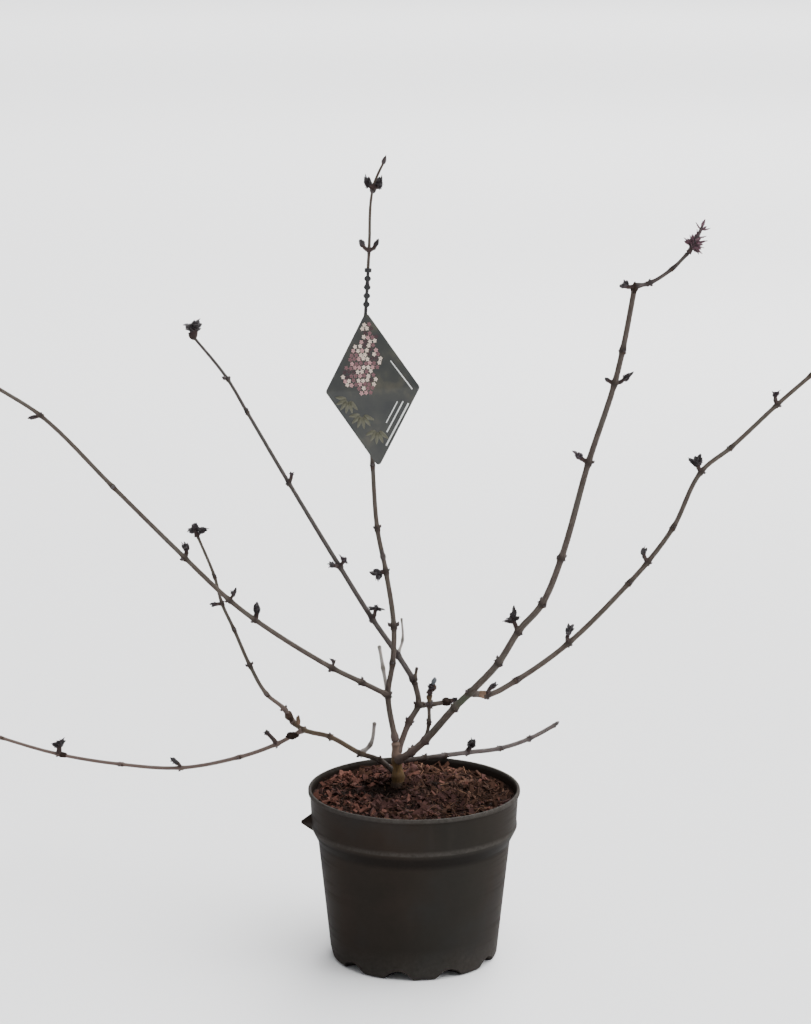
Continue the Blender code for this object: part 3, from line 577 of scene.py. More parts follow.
def makeCompost():
    wall = innerWall()
    rise = (compost["level"] - wall[-2][1]) / (wall[-1][1] - wall[-2][1])
    edge = wall[-2][0] + rise * (wall[-1][0] - wall[-2][0]) - 0.2
    # the bed: a turned disc whose top is then raised into the compost's relief
    shape = bmesh.new()
    radii = [edge * ring / compost["rings"] for ring in range(compost["rings"] + 1)]
    line = [(radius, compost["level"]) for radius in radii] + [(edge - 1, compost["level"] - 14),
                                                             (0, compost["level"] - 14)]
    points = [shape.verts.new((radius * mm, 0, height * mm)) for radius, height in line]
    for start, end in zip(points, points[1:]):
        shape.edges.new((start, end))
    bed = shapeToObject("bed", shape)
    turn = bed.modifiers.new("turn", "SCREW")
    turn.steps = turn.render_steps = compost["steps"]
    turn.use_merge_vertices = True
    turn.merge_threshold = 0.01 * mm
    bed = settle(bed, "compostBed")
    shares = {name: bed.data.attributes.new(name, "FLOAT", "POINT")
              for name in ("all", "left", "middle", "right")}
    for corner in bed.data.vertices:
        if corner.co.z < (compost["level"] - 1) * mm:
            continue
        x, y = corner.co.x / mm, corner.co.y / mm
        corner.co.z = compostHeight(x, y) * mm
        inside = 1 if math.hypot(x, y) < edge - 3 else 0
        across = x / edge + 0.5 * noise(Vector((x, y, 9)) / 26)
        hollow = (Vector((x, y)) - Vector(compost["hollowPlace"])).length / compost["hollowRadius"]
        # fewer chips in the hollow leave it dark: painted shade in the hollow
        chipShareOutsideShadedHollow = inside * max(0.12, min(1, hollow * hollow))
        shares["all"].data[corner.index].value = inside
        shares["left"].data[corner.index].value = chipShareOutsideShadedHollow * max(0.06, min(1, -1.5 * across - 0.15))
        shares["middle"].data[corner.index].value = chipShareOutsideShadedHollow * max(0.15, 1 - abs(across + 0.1) * 1.5)
        shares["right"].data[corner.index].value = chipShareOutsideShadedHollow * max(0.1, min(1, 1.3 * across + 0.4))
    tones = {
        "darkCrumbs": ((0.0048, 0.0028, 0.0021), (0.018, 0.0085, 0.006)),
        "brownCrumbs": ((0.014, 0.0064, 0.0042), (0.046, 0.021, 0.013)),
        "redBarkChips": ((0.036, 0.0158, 0.0120), (0.120, 0.053, 0.040)),
        "purpleBarkChips": ((0.019, 0.0092, 0.0082), (0.060, 0.029, 0.025)),
        "brownBarkChips": ((0.019, 0.0095, 0.0064), (0.058, 0.029, 0.020)),
        "paleFibres": ((0.042, 0.022, 0.014), (0.135, 0.074, 0.047)),
        "darkFibres": ((0.011, 0.0058, 0.0040), (0.040, 0.019, 0.012)),
    }
    finishes = {name: makeLitterFinish(name + "Peat", *tone, bed=compost) for name, tone in tones.items()}
    shapes = makeLitterShapes()
    tree = litterTree()
    for seed, (name, recipe) in enumerate(compost["litter"].items()):
        density, leastGap, (smallest, largest), tilt, share, kind = recipe
        litter = growWith(tree, addObject(name, bed.data.copy()), name, {
            "Shapes": shapes[kind], "Density": float(density), "Least Gap": leastGap * mm,
            "Smallest": smallest, "Largest": largest, "Tilt": math.radians(tilt), "Share": share,
            "Seed": seed + 3, "Finish": finishes[name]})
        keepInside(litter, len(shapes[kind].objects[0].data.vertices), wall)
        litter.data.shade_flat() if kind == "chip" else litter.data.shade_smooth()
        handOver(litter, "compost")
        print(name, len(litter.data.polygons))
    for group in shapes.values():
        for item in list(group.objects):
            bpy.data.objects.remove(item, do_unlink=True)
        bpy.data.collections.remove(group)
    for name in shares:
        bed.data.attributes.remove(bed.data.attributes[name])
    handOver(dress(bed, finishes["darkCrumbs"]), "compost", "compost")


makeCompost()
print("compost strewn")


# Limbs: internodes of a length in mm and a rise in degrees, in the upright plane of a heading

limbs = {
    "crown": dict(
        springs=None, heading=180, girth=(4.7, 3.5), bark="amber",
        internodes=((7, 90), (14, 86), (5, 86), (14, 86))),
    "centre_stem": dict(
        springs=("crown", 4), heading=175, girth=(2.7, 1.1), bark="brown",
        internodes=((43, 81), (30, 98), (34, 92), (51, 82), (40, 79), (57, 86), (121, 87),
                    (40, 93), (30, 93), (55, 94), (26, 113))),
    "inner_stem": dict(
        springs=("crown", 3), heading=20, girth=(2.8, 2.5), bark="brown",
        internodes=((33, 68), (17, 60), (23, 99))),
    "upper_left_cane": dict(
        springs=("inner_stem", 3), heading=126, girth=(2.6, 1.4), bark="dusk",
        internodes=((32, 36), (47, 33), (66, 37), (107, 38), (93, 39), (44, 39), (73, 29))),
    "long_left_cane": dict(
        springs=("centre_stem", 1), heading=212, girth=(2.4, 1.5), bark="brown",
        internodes=((32, 30), (35, 30), (95, 35), (32, 40), (60, 45), (95, 46), (92, 46),
                    (52, 35), (48, 39))),
    "low_left_base": dict(
        springs=("crown", 1), heading=125, girth=(2.4, 2.3), bark="olive",
        internodes=((29, 14), (32, -2), (51, 4), (47, -5), (17, 8))),
    "rising_left_cane": dict(
        springs=("low_left_base", 5), heading=205, girth=(2.1, 1.3), bark="brown",
        internodes=((18, 58), (25, 43), (34, 61), (40, 67), (29, 66), (28, 75), (43, 68))),
    "low_left_cane": dict(
        springs=("low_left_base", 4), heading=175, girth=(2.0, 1.5), bark="brown",
        internodes=((30, -30), (39, -21), (58, -12), (58, 2), (61, 8), (58, 15), (46, 18))),
    "right_cane": dict(
        springs=("crown", 2), heading=-56, girth=(3.4, 2.1), bark="brown", lichen=(3, 0.6, 13),
        internodes=((28, 31), (27, 37), (61, 42), (30, 39), (55, 41), (43, 50), (45, 43),
                    (50, 60), (91, 68), (75, 65), (29, 71), (53, 75))),
    "right_shoot": dict(
        springs=("right_cane", 12), heading=15, girth=(1.6, 1.4), bark="dusk",
        internodes=((12, 10), (22, 30), (17, 43))),
    "far_right_cane": dict(
        springs=("right_cane", 4), heading=22, girth=(2.5, 1.8), bark="brown",
        internodes=((16, -14), (30, 20), (57, 30), (76, 40), (25, 44), (38, 50), (55, 61),
                    (35, 34), (58, 38), (42, 36), (55, 37))),
    "low_right_cane": dict(
        springs=("crown", 2), heading=52, girth=(2.4, 2.0), bark="dusk",
        internodes=((41, -10), (32, -9), (35, -9), (53, -9), (48, -2), (44, 5))),
    "upright_twig": dict(
        springs=("right_cane", 2), heading=120, girth=(1.6, 1.6), bark="brown",
        internodes=((19, 109), (16, 90), (11, 95))),
    "cross_twig": dict(
        springs=("inner_stem", 2), heading=8, girth=(2.2, 2.1), bark="brown",
        internodes=((11, 0), (19, 8))),
    "fork_spur": dict(
        springs=("centre_stem", 1), heading=115, girth=(1.8, 1.5), bark="grey",
        internodes=((25, 65), (21, 66))),
    "inner_spur": dict(
        springs=("inner_stem", 3), heading=40, girth=(1.5, 1.2), bark="brown",
        internodes=((13, 77),)),
    "pale_twig": dict(
        springs=("upper_left_cane", 1), heading=60, girth=(1.3, 0.9), bark="grey",
        internodes=((15, 54), (21, 95))),
    "old_snag": dict(
        springs=("low_left_base", 2), heading=10, girth=(1.9, 1.6), bark="grey",
        internodes=((12, 42), (22, 79))),
}
growth = dict(
    nodeSwell=0.28, nodeReach=3.5, crownFlare=1.8, crownFlareReach=5, crownSunk=3,
    step=0.9, ridge=0.16, ridgeReach=0.6, collar=0.32, collarReach=2.8,
    sides=18, relief=0.1, grain=0.3, wartDensity=24000, wartSize=(0.2, 0.36),
    # soil stain and painted shade on whatever is low inside the pot: full and none at these radii and heights
    soilAndShadeRadii=(66, 90), soilAndShadeHeights=(160, 184), crownSoilAndShade=(149, 155),
)


def direction(heading, rise):
    heading, rise = math.radians(heading), math.radians(rise)
    flat = math.cos(rise)
    return Vector((flat * math.cos(heading), flat * math.sin(heading), math.sin(rise)))


def limbNodes(name):
    limb = limbs[name]
    nodes = [Vector(compost["crownFoot"])]
    if limb["springs"]:
        parent, index = limb["springs"]
        nodes = [limbNodes(parent)[index]]
    for length, rise in limb["internodes"]:
        nodes.append(nodes[-1] + length * direction(limb["heading"], rise))
    return nodes


def nodeDirections(nodes):
    steps = [(end - start).normalized() for start, end in zip(nodes, nodes[1:])]
    turns = [(before + after).normalized() for before, after in zip(steps, steps[1:])]
    return [steps[0]] + turns + [steps[-1]]


def between(start, end, leave, arrive, part):
    length = (end - start).length
    square, cube = part ** 2, part ** 3
    return ((2 * cube - 3 * square + 1) * start + (cube - 2 * square + part) * length * leave
            + (3 * square - 2 * cube) * end + (cube - square) * length * arrive)


def limbRadius(name, travelled, total, toNode):
    foot, tip = limbs[name]["girth"]
    radius = foot + (tip - foot) * travelled / total
    radius *= 1 + growth["nodeSwell"] * math.exp(-(toNode / growth["nodeReach"]) ** 2)
    if name == "crown":
        radius += growth["crownFlare"] * math.exp(-travelled / growth["crownFlareReach"])
    return radius


def parentRadius(name):
    parent, index = limbs[name]["springs"]
    nodes = limbNodes(parent)
    lengths = [(end - start).length for start, end in zip(nodes, nodes[1:])]
    return limbRadius(parent, sum(lengths[:index]), sum(lengths), 0)


def smooth(full, none, value):
    part = max(0, min(1, (none - value) / (none - full)))
    return part * part * (3 - 2 * part)


# point, radius and shades of node, of soil stain with painted shade, and of lichen all along a limb, with a rounded
# end
def limbLine(name):
    nodes = limbNodes(name)
    ways = nodeDirections(nodes)
    lengths = [(end - start).length for start, end in zip(nodes, nodes[1:])]
    total = sum(lengths)
    host = parentRadius(name) if limbs[name]["springs"] else 0
    patch = limbs[name].get("lichen")
    patchPlace = nodes[patch[0]].lerp(nodes[patch[0] + 1], patch[1]) if patch else None
    line = []

    def addPlace(point, radius, shade):
        heights = growth["crownSoilAndShade" if name == "crown" else "soilAndShadeHeights"]
        soil = smooth(*growth["soilAndShadeRadii"], point.xy.length) * smooth(*heights, point.z)
        lichen = math.exp(-((point - patchPlace).length / patch[2]) ** 2) if patch else 0
        line.append((point, radius, shade, soil, lichen))

    if name == "crown":
        addPlace(nodes[0] - Vector((0, 0, growth["crownSunk"])), limbRadius(name, 0, total, 99) * 1.15, 0)
    for index, length in enumerate(lengths):
        parts = math.ceil(length / growth["step"])
        for step in range(parts):
            part = step / parts
            travelled = sum(lengths[:index]) + part * length
            toNode = min(part, 1 - part) * length
            atFoot = travelled < growth["nodeReach"]
            radius = limbRadius(name, travelled, total, 99 if atFoot and name == "crown" else toNode)
            if travelled > 2 * growth["nodeReach"] and name != "crown":
                radius += growth["ridge"] * math.exp(-(toNode / growth["ridgeReach"]) ** 2)
            if host:
                away = (travelled - host) / growth["collarReach"]
                radius *= 1 + growth["collar"] * math.exp(-away * away)
            point = between(nodes[index], nodes[index + 1], ways[index], ways[index + 1], part)
            addPlace(point, radius, math.exp(-(toNode / growth["nodeReach"]) ** 2))
    tip = limbRadius(name, total, total, 0)
    line[:] = [place for place in line if (nodes[-1] - place[0]).length > 0.9 * tip]
    for part in (0.8, 0.6, 0.4, 0.22, 0.08, 0.01):
        addPlace(nodes[-1] - ways[-1] * tip * part, tip * math.sqrt(1 - (1 - part) ** 2), 1)
    return line


def barkTree():
    tree, given = startTree("growBark", {
        "Sides": "Int", "Relief": "Float", "Grain": "Float", "Seed": "Float", "Finish": "Material"})
    curve = put(tree, "GeometryNodeMeshToCurve", {"Mesh": given["Geometry"]})
    along = put(tree, "GeometryNodeSplineParameter")
    marked = put(tree, "GeometryNodeStoreNamedAttribute", {
        "Geometry": curve.outputs[0], "Name": "along", "Value": along.outputs["Length"]},
        data_type="FLOAT", domain="POINT")
    ring = put(tree, "GeometryNodeCurvePrimitiveCircle", {"Resolution": given["Sides"], "Radius": 1.0})
    round_ = put(tree, "GeometryNodeSplineParameter")
    markedRing = put(tree, "GeometryNodeStoreNamedAttribute", {
        "Geometry": ring.outputs[0], "Name": "around", "Value": round_.outputs["Factor"]},
        data_type="FLOAT", domain="POINT")
    girth = put(tree, "GeometryNodeInputNamedAttribute", {"Name": "girth"}, data_type="FLOAT").outputs[0]
    tube = put(tree, "GeometryNodeCurveToMesh", {
        "Curve": marked.outputs[0], "Profile Curve": markedRing.outputs[0], "Scale": girth,
        "Fill Caps": True})
    # a coordinate that follows the bark: round the limb, and along it at the grain's stretch
    length = put(tree, "GeometryNodeInputNamedAttribute", {"Name": "along"}, data_type="FLOAT").outputs[0]
    turn = put(tree, "GeometryNodeInputNamedAttribute", {"Name": "around"}, data_type="FLOAT").outputs[0]
    angle = calculate(tree, "MULTIPLY", turn, 2 * math.pi)
    across = [calculate(tree, "MULTIPLY", put(tree, "ShaderNodeMath", {0: angle}, operation=kind).outputs[0],
                        2.4 * mm) for kind in ("COSINE", "SINE")]
    upward = calculate(tree, "ADD", calculate(tree, "MULTIPLY", length, given["Grain"]), given["Seed"])
    place = put(tree, "ShaderNodeCombineXYZ", {0: across[0], 1: across[1], 2: upward}).outputs[0]
    kept = put(tree, "GeometryNodeStoreNamedAttribute", {
        "Geometry": tube.outputs[0], "Name": "barkPlace", "Value": place},
        data_type="FLOAT_VECTOR", domain="POINT")
    furrows = put(tree, "ShaderNodeTexNoise", {
        "Vector": place, "Scale": 620.0, "Detail": 3.0, "Roughness": 0.6}).outputs[0]
    height = calculate(tree, "MULTIPLY", calculate(tree, "SUBTRACT", furrows, 0.5), given["Relief"])
    deep = calculate(tree, "MULTIPLY", height, rangeOf(tree, girth, 0.001, 0.0045, 1.0, 2.6))
    normal = put(tree, "GeometryNodeInputNormal").outputs[0]
    offset = put(tree, "ShaderNodeVectorMath", {0: normal, "Scale": deep}, operation="SCALE").outputs[0]
    moved = put(tree, "GeometryNodeSetPosition", {"Geometry": kept.outputs[0], "Offset": offset})
    smooth = put(tree, "GeometryNodeSetShadeSmooth", {"Geometry": moved.outputs[0]})
    endTree(tree, smooth.outputs[0], given["Finish"])
    return tree


# bark of one tone: dark and pale of the grain, the nodes' own shade and a patchy bloom; between two
# heights it can pass into another tone
def makeBark(name, dark, pale, nodeColour, bloom, roughness=0.72, passing=None):
    finish, tree, shader = newFinish(name, roughness, Specular_IOR_Level=0.18)
    place = put(tree, "ShaderNodeAttribute", attribute_name="barkPlace").outputs["Vector"]
    shade, soil, lichen = (put(tree, "ShaderNodeAttribute", attribute_name=label).outputs["Fac"]
                           for label in ("nodeShade", "soil", "lichen"))
    streaks = speckle(tree, place, 900, (1, 1, 0.5), detail=5, roughness=0.65)
    patches = speckle(tree, objectPlace(tree), 26, detail=3)
    base = shades(tree, streaks, ((0.34, dark), (0.66, pale)))
    bloomed = blendColours(tree, rangeOf(tree, patches, 0.48, 0.7, 0, 0.7), base, bloom)
    noded = blendColours(tree, calculate(tree, "MULTIPLY", shade, 0.88), bloomed, nodeColour)
    if passing:
        start, end, share, tone = passing
        upward = put(tree, "ShaderNodeSeparateXYZ", {0: objectPlace(tree)}).outputs["Z"]
        noded = blendColours(tree, rangeOf(tree, upward, start, end, 0, share), noded, tone)
    green = calculate(tree, "MULTIPLY", lichen, rangeOf(tree, patches, 0.3, 0.6, 0.45, 0.95))
    lichened = blendColours(tree, green, noded, (0.044, 0.050, 0.032))
    # soil stain and painted shade: the bark darkens low inside the pot
    ground = calculate(tree, "MULTIPLY", soil, rangeOf(tree, streaks, 0.35, 0.65, 1.0, 0.82))
    soiledAndShaded = blendColours(tree, ground, lichened, (0.013, 0.0068, 0.0046))
    tree.links.new(soiledAndShaded, shader.inputs["Base Color"])
    fine = speckle(tree, place, 2600, (1, 1, 0.6), detail=4)
    addRelief(tree, shader, calculate(tree, "ADD", streaks, calculate(tree, "MULTIPLY", fine, 0.5)),
              0.22 * mm, 0.9)
    return finish


def wartTree():
    tree, given = startTree("scatterWarts", {
        "Density": "Float", "Smallest": "Float", "Largest": "Float", "Seed": "Int", "Finish": "Material"})
    points = put(tree, "GeometryNodeDistributePointsOnFaces", {
        "Mesh": given["Geometry"], "Density": given["Density"], "Seed": given["Seed"]})
    wart = put(tree, "GeometryNodeMeshIcoSphere", {"Radius": 1.0, "Subdivisions": 2})
    size = put(tree, "FunctionNodeRandomValue", {
        2: given["Smallest"], 3: given["Largest"], "Seed": given["Seed"]}, data_type="FLOAT")
    flat = put(tree, "ShaderNodeCombineXYZ", {
        0: size.outputs[1], 1: size.outputs[1], 2: calculate(tree, "MULTIPLY", size.outputs[1], 0.5)})
    placed = put(tree, "GeometryNodeInstanceOnPoints", {
        "Points": points.outputs[0], "Instance": wart.outputs[0],
        "Rotation": points.outputs["Rotation"], "Scale": flat.outputs[0]})
    smooth = put(tree, "GeometryNodeSetShadeSmooth", {"Geometry": placed.outputs[0]})
    endTree(tree, smooth.outputs[0], given["Finish"])
    return tree


def makeLimbs():
    barks = {
        "amber": makeBark("amberBark", (0.044, 0.023, 0.008), (0.140, 0.082, 0.032), (0.054, 0.031, 0.013),
                          (0.092, 0.063, 0.029), passing=(0.172, 0.177, 0.75, (0.145, 0.100, 0.082))),
        "olive": makeBark("oliveBark", (0.030, 0.019, 0.011), (0.085, 0.056, 0.034), (0.026, 0.016, 0.010),
                          (0.060, 0.047, 0.029)),
        "brown": makeBark("brownBark", (0.030, 0.0215, 0.0175), (0.076, 0.059, 0.049), (0.017, 0.011, 0.009),
                          (0.056, 0.049, 0.041), passing=(0.216, 0.190, 0.62, (0.118, 0.083, 0.071))),
        "dusk": makeBark("duskBark", (0.026, 0.019, 0.0185), (0.068, 0.054, 0.050), (0.015, 0.010, 0.010),
                         (0.047, 0.041, 0.038)),
        "grey": makeBark("greyBark", (0.13, 0.116, 0.104), (0.33, 0.30, 0.28), (0.10, 0.086, 0.074),
                         (0.25, 0.235, 0.225), 0.85),
    }
    tree = barkTree()
    skins = bmesh.new()
    for number, (name, limb) in enumerate(limbs.items()):
        line = limbLine(name)
        mesh = bpy.data.meshes.new(name)
        mesh.from_pydata([place[0] * mm for place in line],
                         [(index, index + 1) for index in range(len(line) - 1)], [])
        for label, column, scale in (("girth", 1, mm), ("nodeShade", 2, 1), ("soil", 3, 1), ("lichen", 4, 1)):
            values = mesh.attributes.new(label, "FLOAT", "POINT").data
            values.foreach_set("value", [place[column] * scale for place in line])
        words = name.split("_")
        piece = words[0] + "".join(word.capitalize() for word in words[1:]) + "Bark"
        bark = growWith(tree, addObject(name, mesh), piece, {
            "Sides": growth["sides"], "Relief": growth["relief"] * 2 * mm, "Grain": growth["grain"],
            "Seed": number * 1.7, "Finish": barks[limb["bark"]]})
        if limb["bark"] != "grey":
            skins.from_mesh(bark.data)
        slotName = {"amber": "stem_bark", "olive": "stem_bark", "grey": "grey_bark"}.get(limb["bark"], "cane_bark")
        handOver(bark, slotName, name)
    finish, shadeTree, shader = newFinish("wartCork", 0.85, Specular_IOR_Level=0.25)
    cork = speckle(shadeTree, objectPlace(shadeTree), 700, detail=3)
    shadeTree.links.new(shades(shadeTree, cork, ((0.3, (0.048, 0.033, 0.025)), (0.7, (0.11, 0.086, 0.068)))),
                        shader.inputs["Base Color"])
    warts = growWith(wartTree(), shapeToObject("skins", skins), "barkWarts", {
        "Density": float(growth["wartDensity"]), "Smallest": growth["wartSize"][0] * mm,
        "Largest": growth["wartSize"][1] * mm, "Seed": 5, "Finish": finish})
    handOver(warts, "cane_bark")
    print("warts", len(warts.data.polygons))


makeLimbs()
print("limbs grown")


# Tufts: limb, node, way of the tuft's stem (heading, rise), its length in mm and the leaves: how far
# round each points as seen from the front, in degrees from the right to the top, and its length

tufts = {
    "leader_left": ("centre_stem", 10, 195, 40, 2,
        ((110, 11), (128, 8), (205, 5))),
    "leader_right": ("centre_stem", 10, 15, 40, 2,
        ((76, 11), (58, 8), (-35, 5))),
    "leader_arm_left": ("centre_stem", 9, 180, 58, 5,
        ((122, 9), (112, 8))),
    "leader_arm_right": ("centre_stem", 9, 0, 60, 5,
        ((62, 9), (72, 8))),
    "leader_low": ("centre_stem", 4, 185, -4, 2,
        ((178, 11), (205, 9), (232, 9), (262, 9))),
    "upper_left_up": ("upper_left_cane", 2, 40, 80, 8,
        ((174, 10), (4, 10), (140, 5))),
    "upper_left_back": ("upper_left_cane", 3, 190, 25, 3,
        ((172, 8), (140, 7), (200, 6))),
    "upper_left_fork": ("upper_left_cane", 3, 5, 62, 4,
        ((118, 9), (60, 5), (-35, 6))),
    "upper_left_high": ("upper_left_cane", 4, 20, 80, 6,
        ((100, 6), (60, 5))),
    "upper_left_end": ("upper_left_cane", 7, 60, 86, 8,
        ((66, 11), (160, 11), (172, 8))),
    "long_left_low": ("long_left_cane", 2, 150, 80, 3,
        ((145, 6), (20, 4))),
    "long_left_upright": ("long_left_cane", 3, 60, 82, 4,
        ((90, 10), (78, 8), (104, 8))),
    "long_left_cross": ("long_left_cane", 4, 5, 60, 3,
        ((68, 10), (130, 6), (100, 6))),
    "long_left_fork": ("long_left_cane", 5, 120, 80, 4,
        ((125, 10), (78, 10), (102, 9))),
    "long_left_bud": ("long_left_cane", 7, 175, -4, 3,
        ((184, 7), (196, 5))),
    "long_left_end": ("long_left_cane", 9, 200, 60, 6,
        ((150, 13), (75, 12), (110, 11), (25, 8))),
    "rising_left_bud": ("rising_left_cane", 5, 175, 0, 3,
        ((182, 8), (172, 5))),
    "rising_left_end": ("rising_left_cane", 7, 150, 72, 6,
        ((184, 10), (3, 13), (112, 5), (62, 5))),
    "low_left_stalk": ("low_left_cane", 1, 172, 46, 13,
        ((165, 6), (120, 6), (60, 4))),
    "low_left_wedge": ("low_left_cane", 3, 185, 36, 3,
        ((146, 11), (158, 9))),
    "low_left_tuft": ("low_left_cane", 5, 80, 78, 7,
        ((158, 9), (60, 10), (108, 7))),
    "low_left_end": ("low_left_cane", 7, 180, 48, 6,
        ((165, 12), (95, 12), (130, 10), (45, 8))),
    "right_star": ("right_cane", 6, 160, 74, 8,
        ((180, 11), (92, 13), (28, 8))),
    "right_side": ("right_cane", 9, 185, 46, 4,
        ((142, 10), (118, 8), (160, 7))),
    "right_bud": ("right_cane", 10, 180, 38, 2,
        ((142, 5), (160, 4))),
    "right_arm": ("right_cane", 10, 0, 40, 5,
        ((42, 12), (36, 10), (50, 9))),
    "right_top": ("right_cane", 12, 178, 30, 3,
        ((165, 9), (120, 7), (90, 5))),
    "right_shoot_end": ("right_shoot", 3, 20, 58, 6,
        ((128, 11), (-24, 11), (0, 11), (67, 24), (100, 10), (24, 14))),
    "far_right_low": ("far_right_cane", 1, -10, 48, 4,
        ((38, 11), (48, 9))),
    "far_right_spear": ("far_right_cane", 3, 0, 74, 6,
        ((84, 12), (68, 13), (54, 11))),
    "far_right_bud": ("far_right_cane", 5, 175, 78, 6,
        ((104, 10), (84, 9))),
    "far_right_star": ("far_right_cane", 7, 120, 82, 5,
        ((150, 12), (84, 14), (30, 7), (105, 9))),
    "far_right_high": ("far_right_cane", 9, 90, 84, 5,
        ((62, 10), (116, 7), (88, 6))),
    "far_right_end": ("far_right_cane", 11, 20, 55, 6,
        ((20, 12), (85, 12), (50, 11), (130, 8))),
    "low_right_spear": ("low_right_cane", 3, 0, 62, 4,
        ((64, 11), (78, 9), (49, 8))),
    "upright_twig_end": ("upright_twig", 3, 10, 66, 4,
        ((75, 9), (112, 6), (35, 6))),
    "cross_twig_end": ("cross_twig", 2, 5, 25, 2,
        ((30, 6), (350, 5))),
}
foliage = dict(
    seed=11, stemRadius=1.1, gap=0.3, endLean=0.75,
    # leaves lean to the front and the back by turns; a full tuft has one more that leans far
    lean=(10, 28), deepLean=58, deepShare=0.8, fullTuft=3,
    # girth of a tuft's stem at its foot, in its middle and at its top, and of a leaf's stalk
    stemGirth=(2.5, 2.0, 1.6), stalkGirth=(1.3, 0.7), sides=10,
    leafletStations=8, leafletWidth=0.74, leafletFold=0.7, leafletThickness=0.05, tooth=0.09,
    # a leaf longer than this many mm keeps its leaflets closer, and a leaflet stays this broad at most
    openLength=6.5, broadest=2.9,
    # how much fuller some tufts are than the rest
    fuller={"upper_left_end": 2.35, "leader_left": 1.45, "leader_right": 1.45, "leader_low": 1.3,
            "leader_arm_right": 0.9, "rising_left_end": 1.4, "low_left_tuft": 1.5, "low_right_spear": 1.5,
            "long_left_upright": 1.35, "upright_twig_end": 1.4, "low_left_stalk": 1.15, "far_right_star": 1.1,
            "long_left_low": 0.65, "right_arm": 0.85, "cross_twig_end": 1.15, "right_star": 1.12,
            "right_shoot_end": 1.0, "long_left_cross": 0.65, "long_left_bud": 0.85},
    # leaflets: where along the leaf, length, how far it splays sideways and how far it lifts
    leaflets=((-0.02, 0.46, 38, 36), (-0.02, 0.46, -42, 14), (0.08, 0.52, -32, 34), (0.10, 0.50, 34, -12),
              (0.24, 0.50, 24, 22), (0.25, 0.50, -24, -20), (0.42, 0.52, 0, 2)),
    # a leaf longer than this is a little shoot, with its leaflets in tiers
    shootLength=21, shootGirth=(2.1, 1.3), shootLeaflets=(
        (0.22, 0.24, -58, 12), (0.36, 0.30, 60, 16), (0.44, 0.24, -46, -20), (0.64, 0.32, 54, 24),
        (0.66, 0.34, -52, -8), (0.68, 0.30, 24, -24), (0.70, 0.34, -6, 4)),
    heartLeaves=4, heartShare=0.52, heartLean=34,
    plum=("right_shoot_end",), purple=("upper_left_fork", "far_right_end", "right_side", "low_left_end",
                                       "long_left_end", "far_right_high", "upper_left_high"),
)


def tuftFoot(limbName, index, way):
    nodes = limbNodes(limbName)
    along = nodeDirections(nodes)[index]
    atTip = index == len(nodes) - 1
    if atTip and way.dot(along) > foliage["endLean"]:
        lean = way.cross(along).length
        return nodes[index] + along * (foliage["gap"] + foliage["stemRadius"] * lean)
    outward = (way - way.dot(along) * along).normalized()
    lengths = [(end - start).length for start, end in zip(nodes, nodes[1:])]
    radius = limbRadius(limbName, sum(lengths[:index]), sum(lengths), 0)
    lean = way.cross(outward).length
    foot = nodes[index] + outward * (radius + foliage["gap"] + foliage["stemRadius"] * lean)
    return foot - along * (2 * foliage["stemRadius"] if atTip else 0)


# the ways of a tuft's leaves and their lengths
def leafWays(recipe, number, chance):
    heading, rise, leaves = recipe[2], recipe[3], recipe[5]
    side = 1 if number % 2 else -1
    ways = []
    for angle, length in leaves:
        ways.append((angle, side * chance.uniform(*foliage["lean"]), length))
        side = -side
    if len(leaves) >= foliage["fullTuft"]:
        way = direction(heading, rise)
        angle = math.degrees(math.atan2(way.z, way.x)) + chance.uniform(-15, 15)
        ways.append((angle, side * foliage["deepLean"],
                     foliage["deepShare"] * max(length for angle, length in leaves)))
    placed = []
    for angle, lean, length in ways:
        turn, lean = math.radians(angle), math.radians(lean)
        placed.append((Vector((math.cos(lean) * math.cos(turn), math.sin(lean),
                               math.cos(lean) * math.sin(turn))), length))
    return placed


# a leaf's place: its foot, its way along X, its upper face towards the tuft's stem
def leafPlace(foot, way, stemWay):
    upward = stemWay - stemWay.dot(way) * way
    if upward.length < 0.1:
        upward = Vector((0, -1, 0)) + way.y * way
    upward.normalize()
    return Matrix.Translation(foot) @ Matrix((way, upward.cross(way), upward)).transposed().to_4x4()


# a folded, toothed and curling blade one unit long, along X with its upper face to +Z
def leafletShape(curl, twist):
    stations = foliage["leafletStations"]
    shape = bmesh.new()
    bmesh.ops.create_grid(shape, x_segments=stations, y_segments=2, size=1)
    for corner in shape.verts:
        part = (corner.co.x + 1) / 2
        side = corner.co.y
        half = foliage["leafletWidth"] / 2 * math.sin(math.pi * part ** 0.78) ** 0.85 + 0.01
        number = round(part * stations)
        if abs(side) > 0.9 and 0 < number < stations:
            half *= 1 + foliage["tooth"] * (1 if number % 2 else -1)
            part += 0.03 if number % 2 else 0
        across = side * half
        lift = foliage["leafletFold"] * abs(across) * (1 - 0.4 * part)
        corner.co = Vector((part, across, lift - curl * part * part))
        corner.co = Matrix.Rotation(twist * part, 3, "X") @ corner.co
    bmesh.ops.solidify(shape, geom=shape.faces, thickness=foliage["leafletThickness"])
    bmesh.ops.recalc_face_normals(shape, faces=shape.faces)
    return keepShape(shape)


# a pointed scale or bud one unit long, along X
def budShape(width, belly):
    shape = bmesh.new()
    bmesh.ops.create_uvsphere(shape, u_segments=10, v_segments=8, radius=0.5,
                              matrix=Matrix.Rotation(math.pi / 2, 4, "Y"))
    for corner in shape.verts:
        part = min(1, max(0, corner.co.x + 0.5))
        taper = (1 - part ** 2.2) ** 0.9 * 1.25 + 0.1 * (1 - part)
        corner.co = Vector((part, corner.co.y * width * taper, corner.co.z * belly * taper))
    return keepShape(shape)


